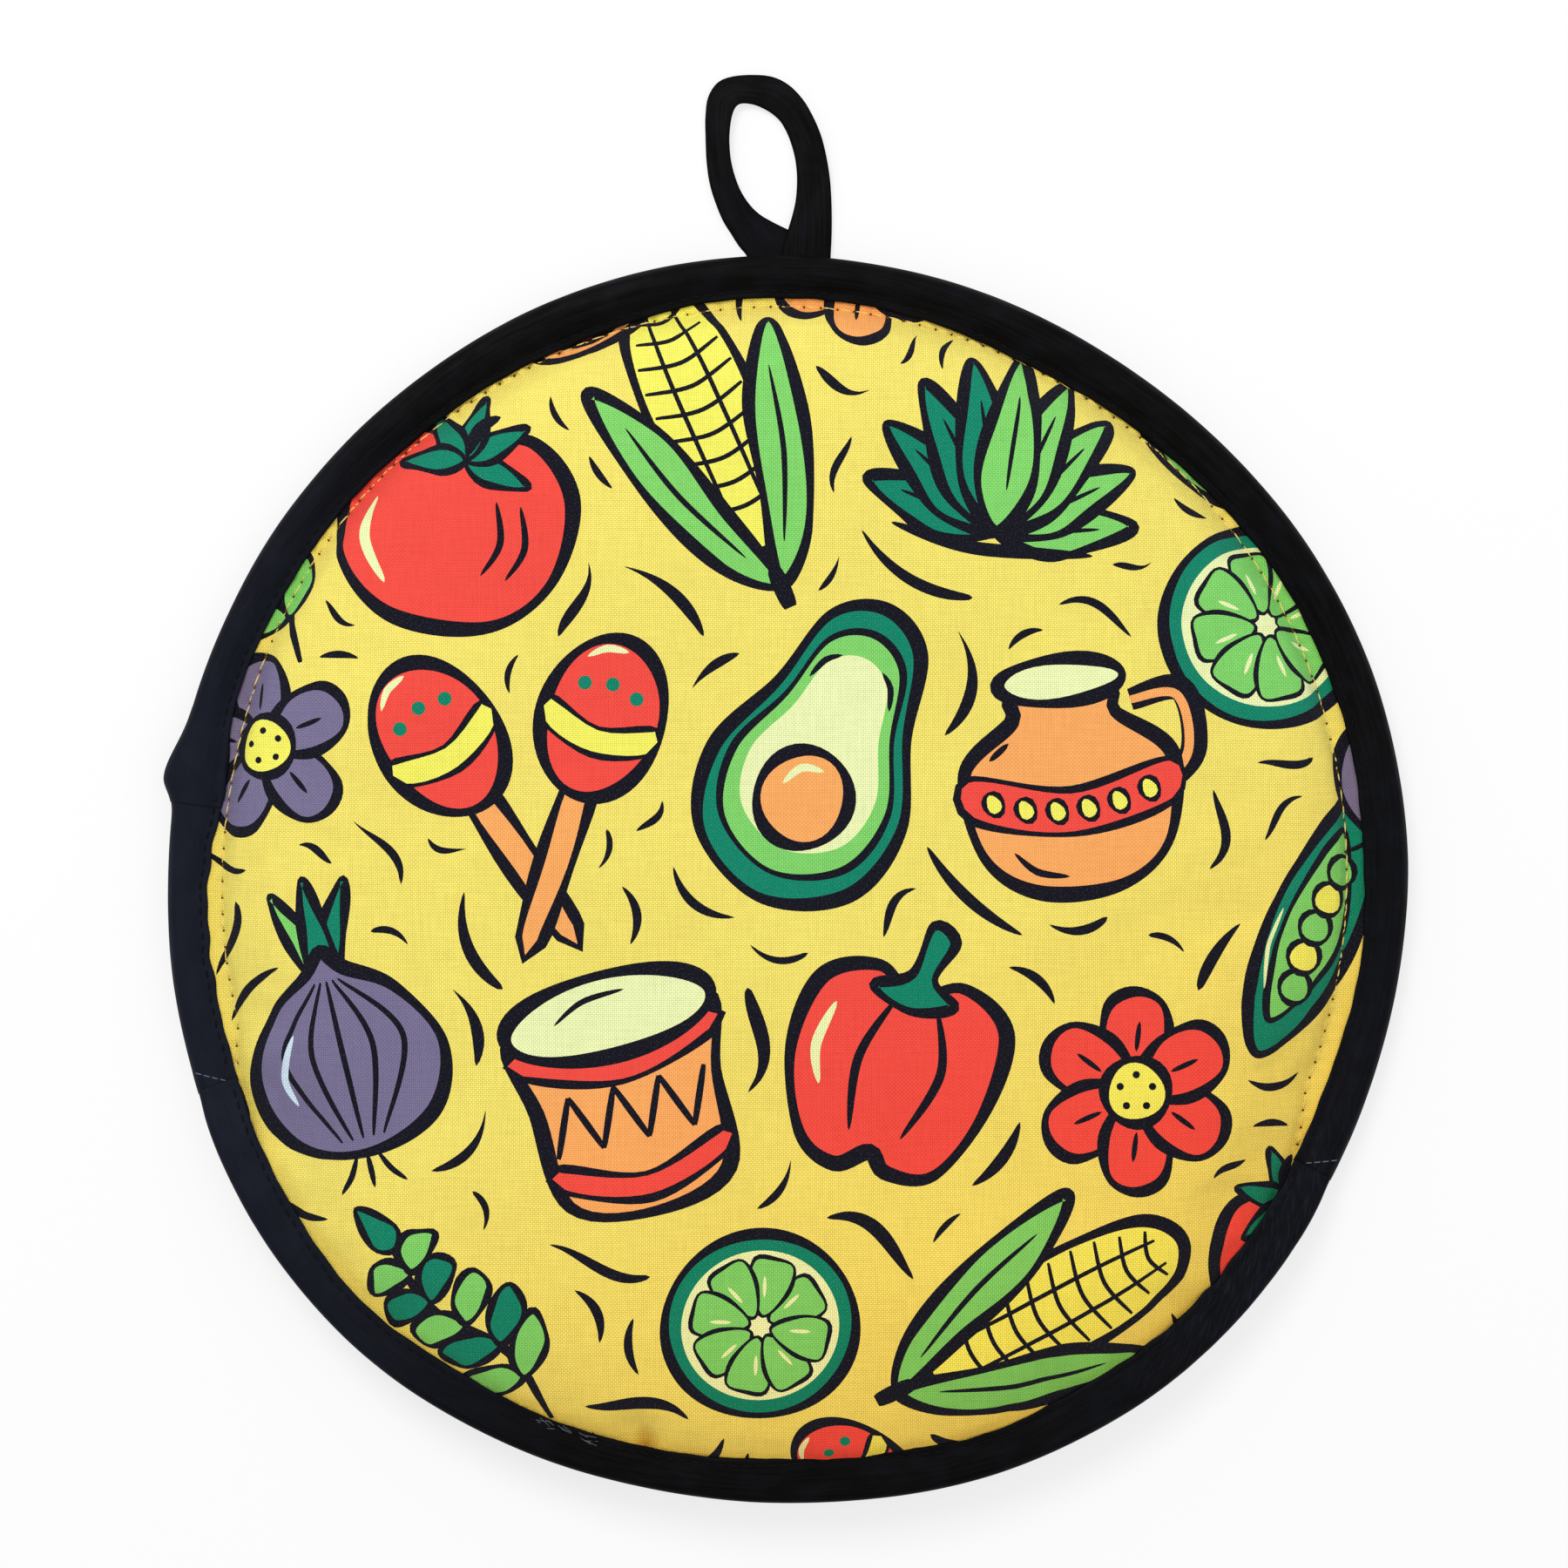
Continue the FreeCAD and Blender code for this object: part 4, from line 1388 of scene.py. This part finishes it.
def tape_loop():
    """A folded tape that stands a little on edge round the arch and lies flat where its legs cross."""
    lines = [(*outer, z_outer, *inner, z_inner) for outer, inner, z_outer, z_inner in loop_tape]
    line = rounded(lines, closed=False)
    thick, across = 0.5, 11
    u = np.linspace(0, 1, across)
    half = thick / 2 * (0.12 + 0.88 * np.sqrt(np.clip(1 - (2 * u - 1) ** 6, 0, 1)))
    rows, flats = [], []
    run = np.concatenate([[0], np.cumsum(np.linalg.norm(np.diff(line[:, :3], axis=0), axis=1))])
    ahead = np.gradient((line[:, :3] + line[:, 3:]) / 2, axis=0)
    for p, s, d in zip(line, run, ahead):
        outer, inner = p[:3], p[3:]
        middle = outer + (inner - outer) * u[:, None]
        up = np.cross(inner - outer, d)
        up *= math.copysign(1, up[2]) / np.linalg.norm(up)
        free = smooth((middle[:, 1] - 160) / 14)
        soft = unevenness([(s / 15, v * 2.1, 3) for v in u], 8)
        sharp = unevenness([(s / 3.5, v * 4 + s / 9, 5) for v in u], 9)
        middle = middle + up * ((0.34 * soft + 0.10 * sharp) * free)[:, None]
        rows.append(np.vstack([middle + up * half[:, None], (middle - up * half[:, None])[::-1]]))
        wide = np.linalg.norm(inner - outer)
        around = np.append(u * wide, 20 - u[::-1] * wide)
        flats.append(np.column_stack([np.full(2 * across, s), around, np.zeros(2 * across)]))
    faces = swept_faces(len(rows), 2 * across)
    piece = closed_piece("tape_loop", np.vstack(rows), faces, [tape_black], np.vstack(flats))
    start, end = (0, 152.2 * MM, loop_hinge[2] * MM), (0, 156.0 * MM, loop_hinge[2] * MM)
    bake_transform(piece)
    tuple(start)
    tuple(end)
    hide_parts("hanging_loop", "loop_tails")


tape_loop()


# ---- stage, lights and camera

def stage():
    """A pale floor that looks nearly white to the camera and keeps the pouch's soft shadow."""
    wide, sunk, glow = 3.0, 0.0004, 0.72
    corners = [(-wide, -wide, 0), (wide, -wide, 0), (wide, wide, 0), (-wide, wide, 0)]
    floor = bpy.data.meshes.new("floor")
    floor.from_pydata(corners, [], [(0, 1, 2, 3)])
    piece = put("floor", floor)
    piece.location = (0, 0, -sunk)
    s = Shader("white_floor", Base_Color=(0.86, 0.86, 0.86, 1), Roughness=0.9)
    light, blend = s.node("Emission"), s.node("MixShader")
    light.inputs["Strength"].default_value = 1.0
    share = s.times(s.node("LightPath").outputs["Is Camera Ray"], glow)
    s.feed(blend.inputs, share, s.surface.outputs[0], light.outputs[0])
    s.feed([s.tree.nodes["Material Output"].inputs["Surface"]], blend.outputs[0])
    floor.materials.append(s.material)
    piece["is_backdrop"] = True


def soft_light(name, place, aim, size, power, tint):
    """A round lamp that looks from its place at its aim, both in metres."""
    light = bpy.data.lights.new(name, "AREA")
    light.shape = "DISK"
    light.size = size
    light.energy = power
    light.color = tint
    lamp = put(name, light)
    lamp.location = place
    lamp.rotation_mode = "QUATERNION"
    lamp.rotation_quaternion = (Vector(aim) - Vector(place)).to_track_quat("-Z", "Y")


def sky():
    """An even white world, a little darker as light than as background."""
    world = bpy.data.worlds.new("studio")
    world.use_nodes = True
    tree = world.node_tree
    back = tree.nodes["Background"]
    back.inputs["Color"].default_value = (1, 1, 1, 1)
    path = tree.nodes.new("ShaderNodeLightPath")
    level = tree.nodes.new("ShaderNodeMapRange")
    level.inputs["To Min"].default_value = 0.68
    level.inputs["To Max"].default_value = 1.0
    tree.links.new(path.outputs["Is Camera Ray"], level.inputs["Value"])
    tree.links.new(level.outputs[0], back.inputs["Strength"])
    bpy.context.scene.world = world


def camera():
    """Straight above the pouch, framed as the photograph is: so many mm across, and a little off-centre."""
    across, up_shift, right_shift, lens, sensor = 384.3, 23.8, -0.3, 85.0, 36.0
    data = bpy.data.cameras.new("camera")
    data.lens = lens
    data.sensor_width = sensor
    data.clip_end = 20
    eye = put("camera", data)
    eye.location = (right_shift * MM, up_shift * MM, (seam_z + across * lens / sensor) * MM)
    bpy.context.scene.camera = eye


stage()
sky()
soft_light("key", (-0.42, 0.80, 1.22), (0, 0.02, 0), 0.7, 11.4, (1.0, 0.99, 0.97))
soft_light("fill", (1.0, 0.2, 1.2), (0, 0, 0), 1.2, 3.0, (1.0, 1.0, 1.0))
camera()
bpy.context.scene.view_settings.view_transform = "Standard"

boxes = {"cad": cad_box, "visual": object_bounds()}
{name: [list(corner) for corner in box] for name, box in boxes.items()}
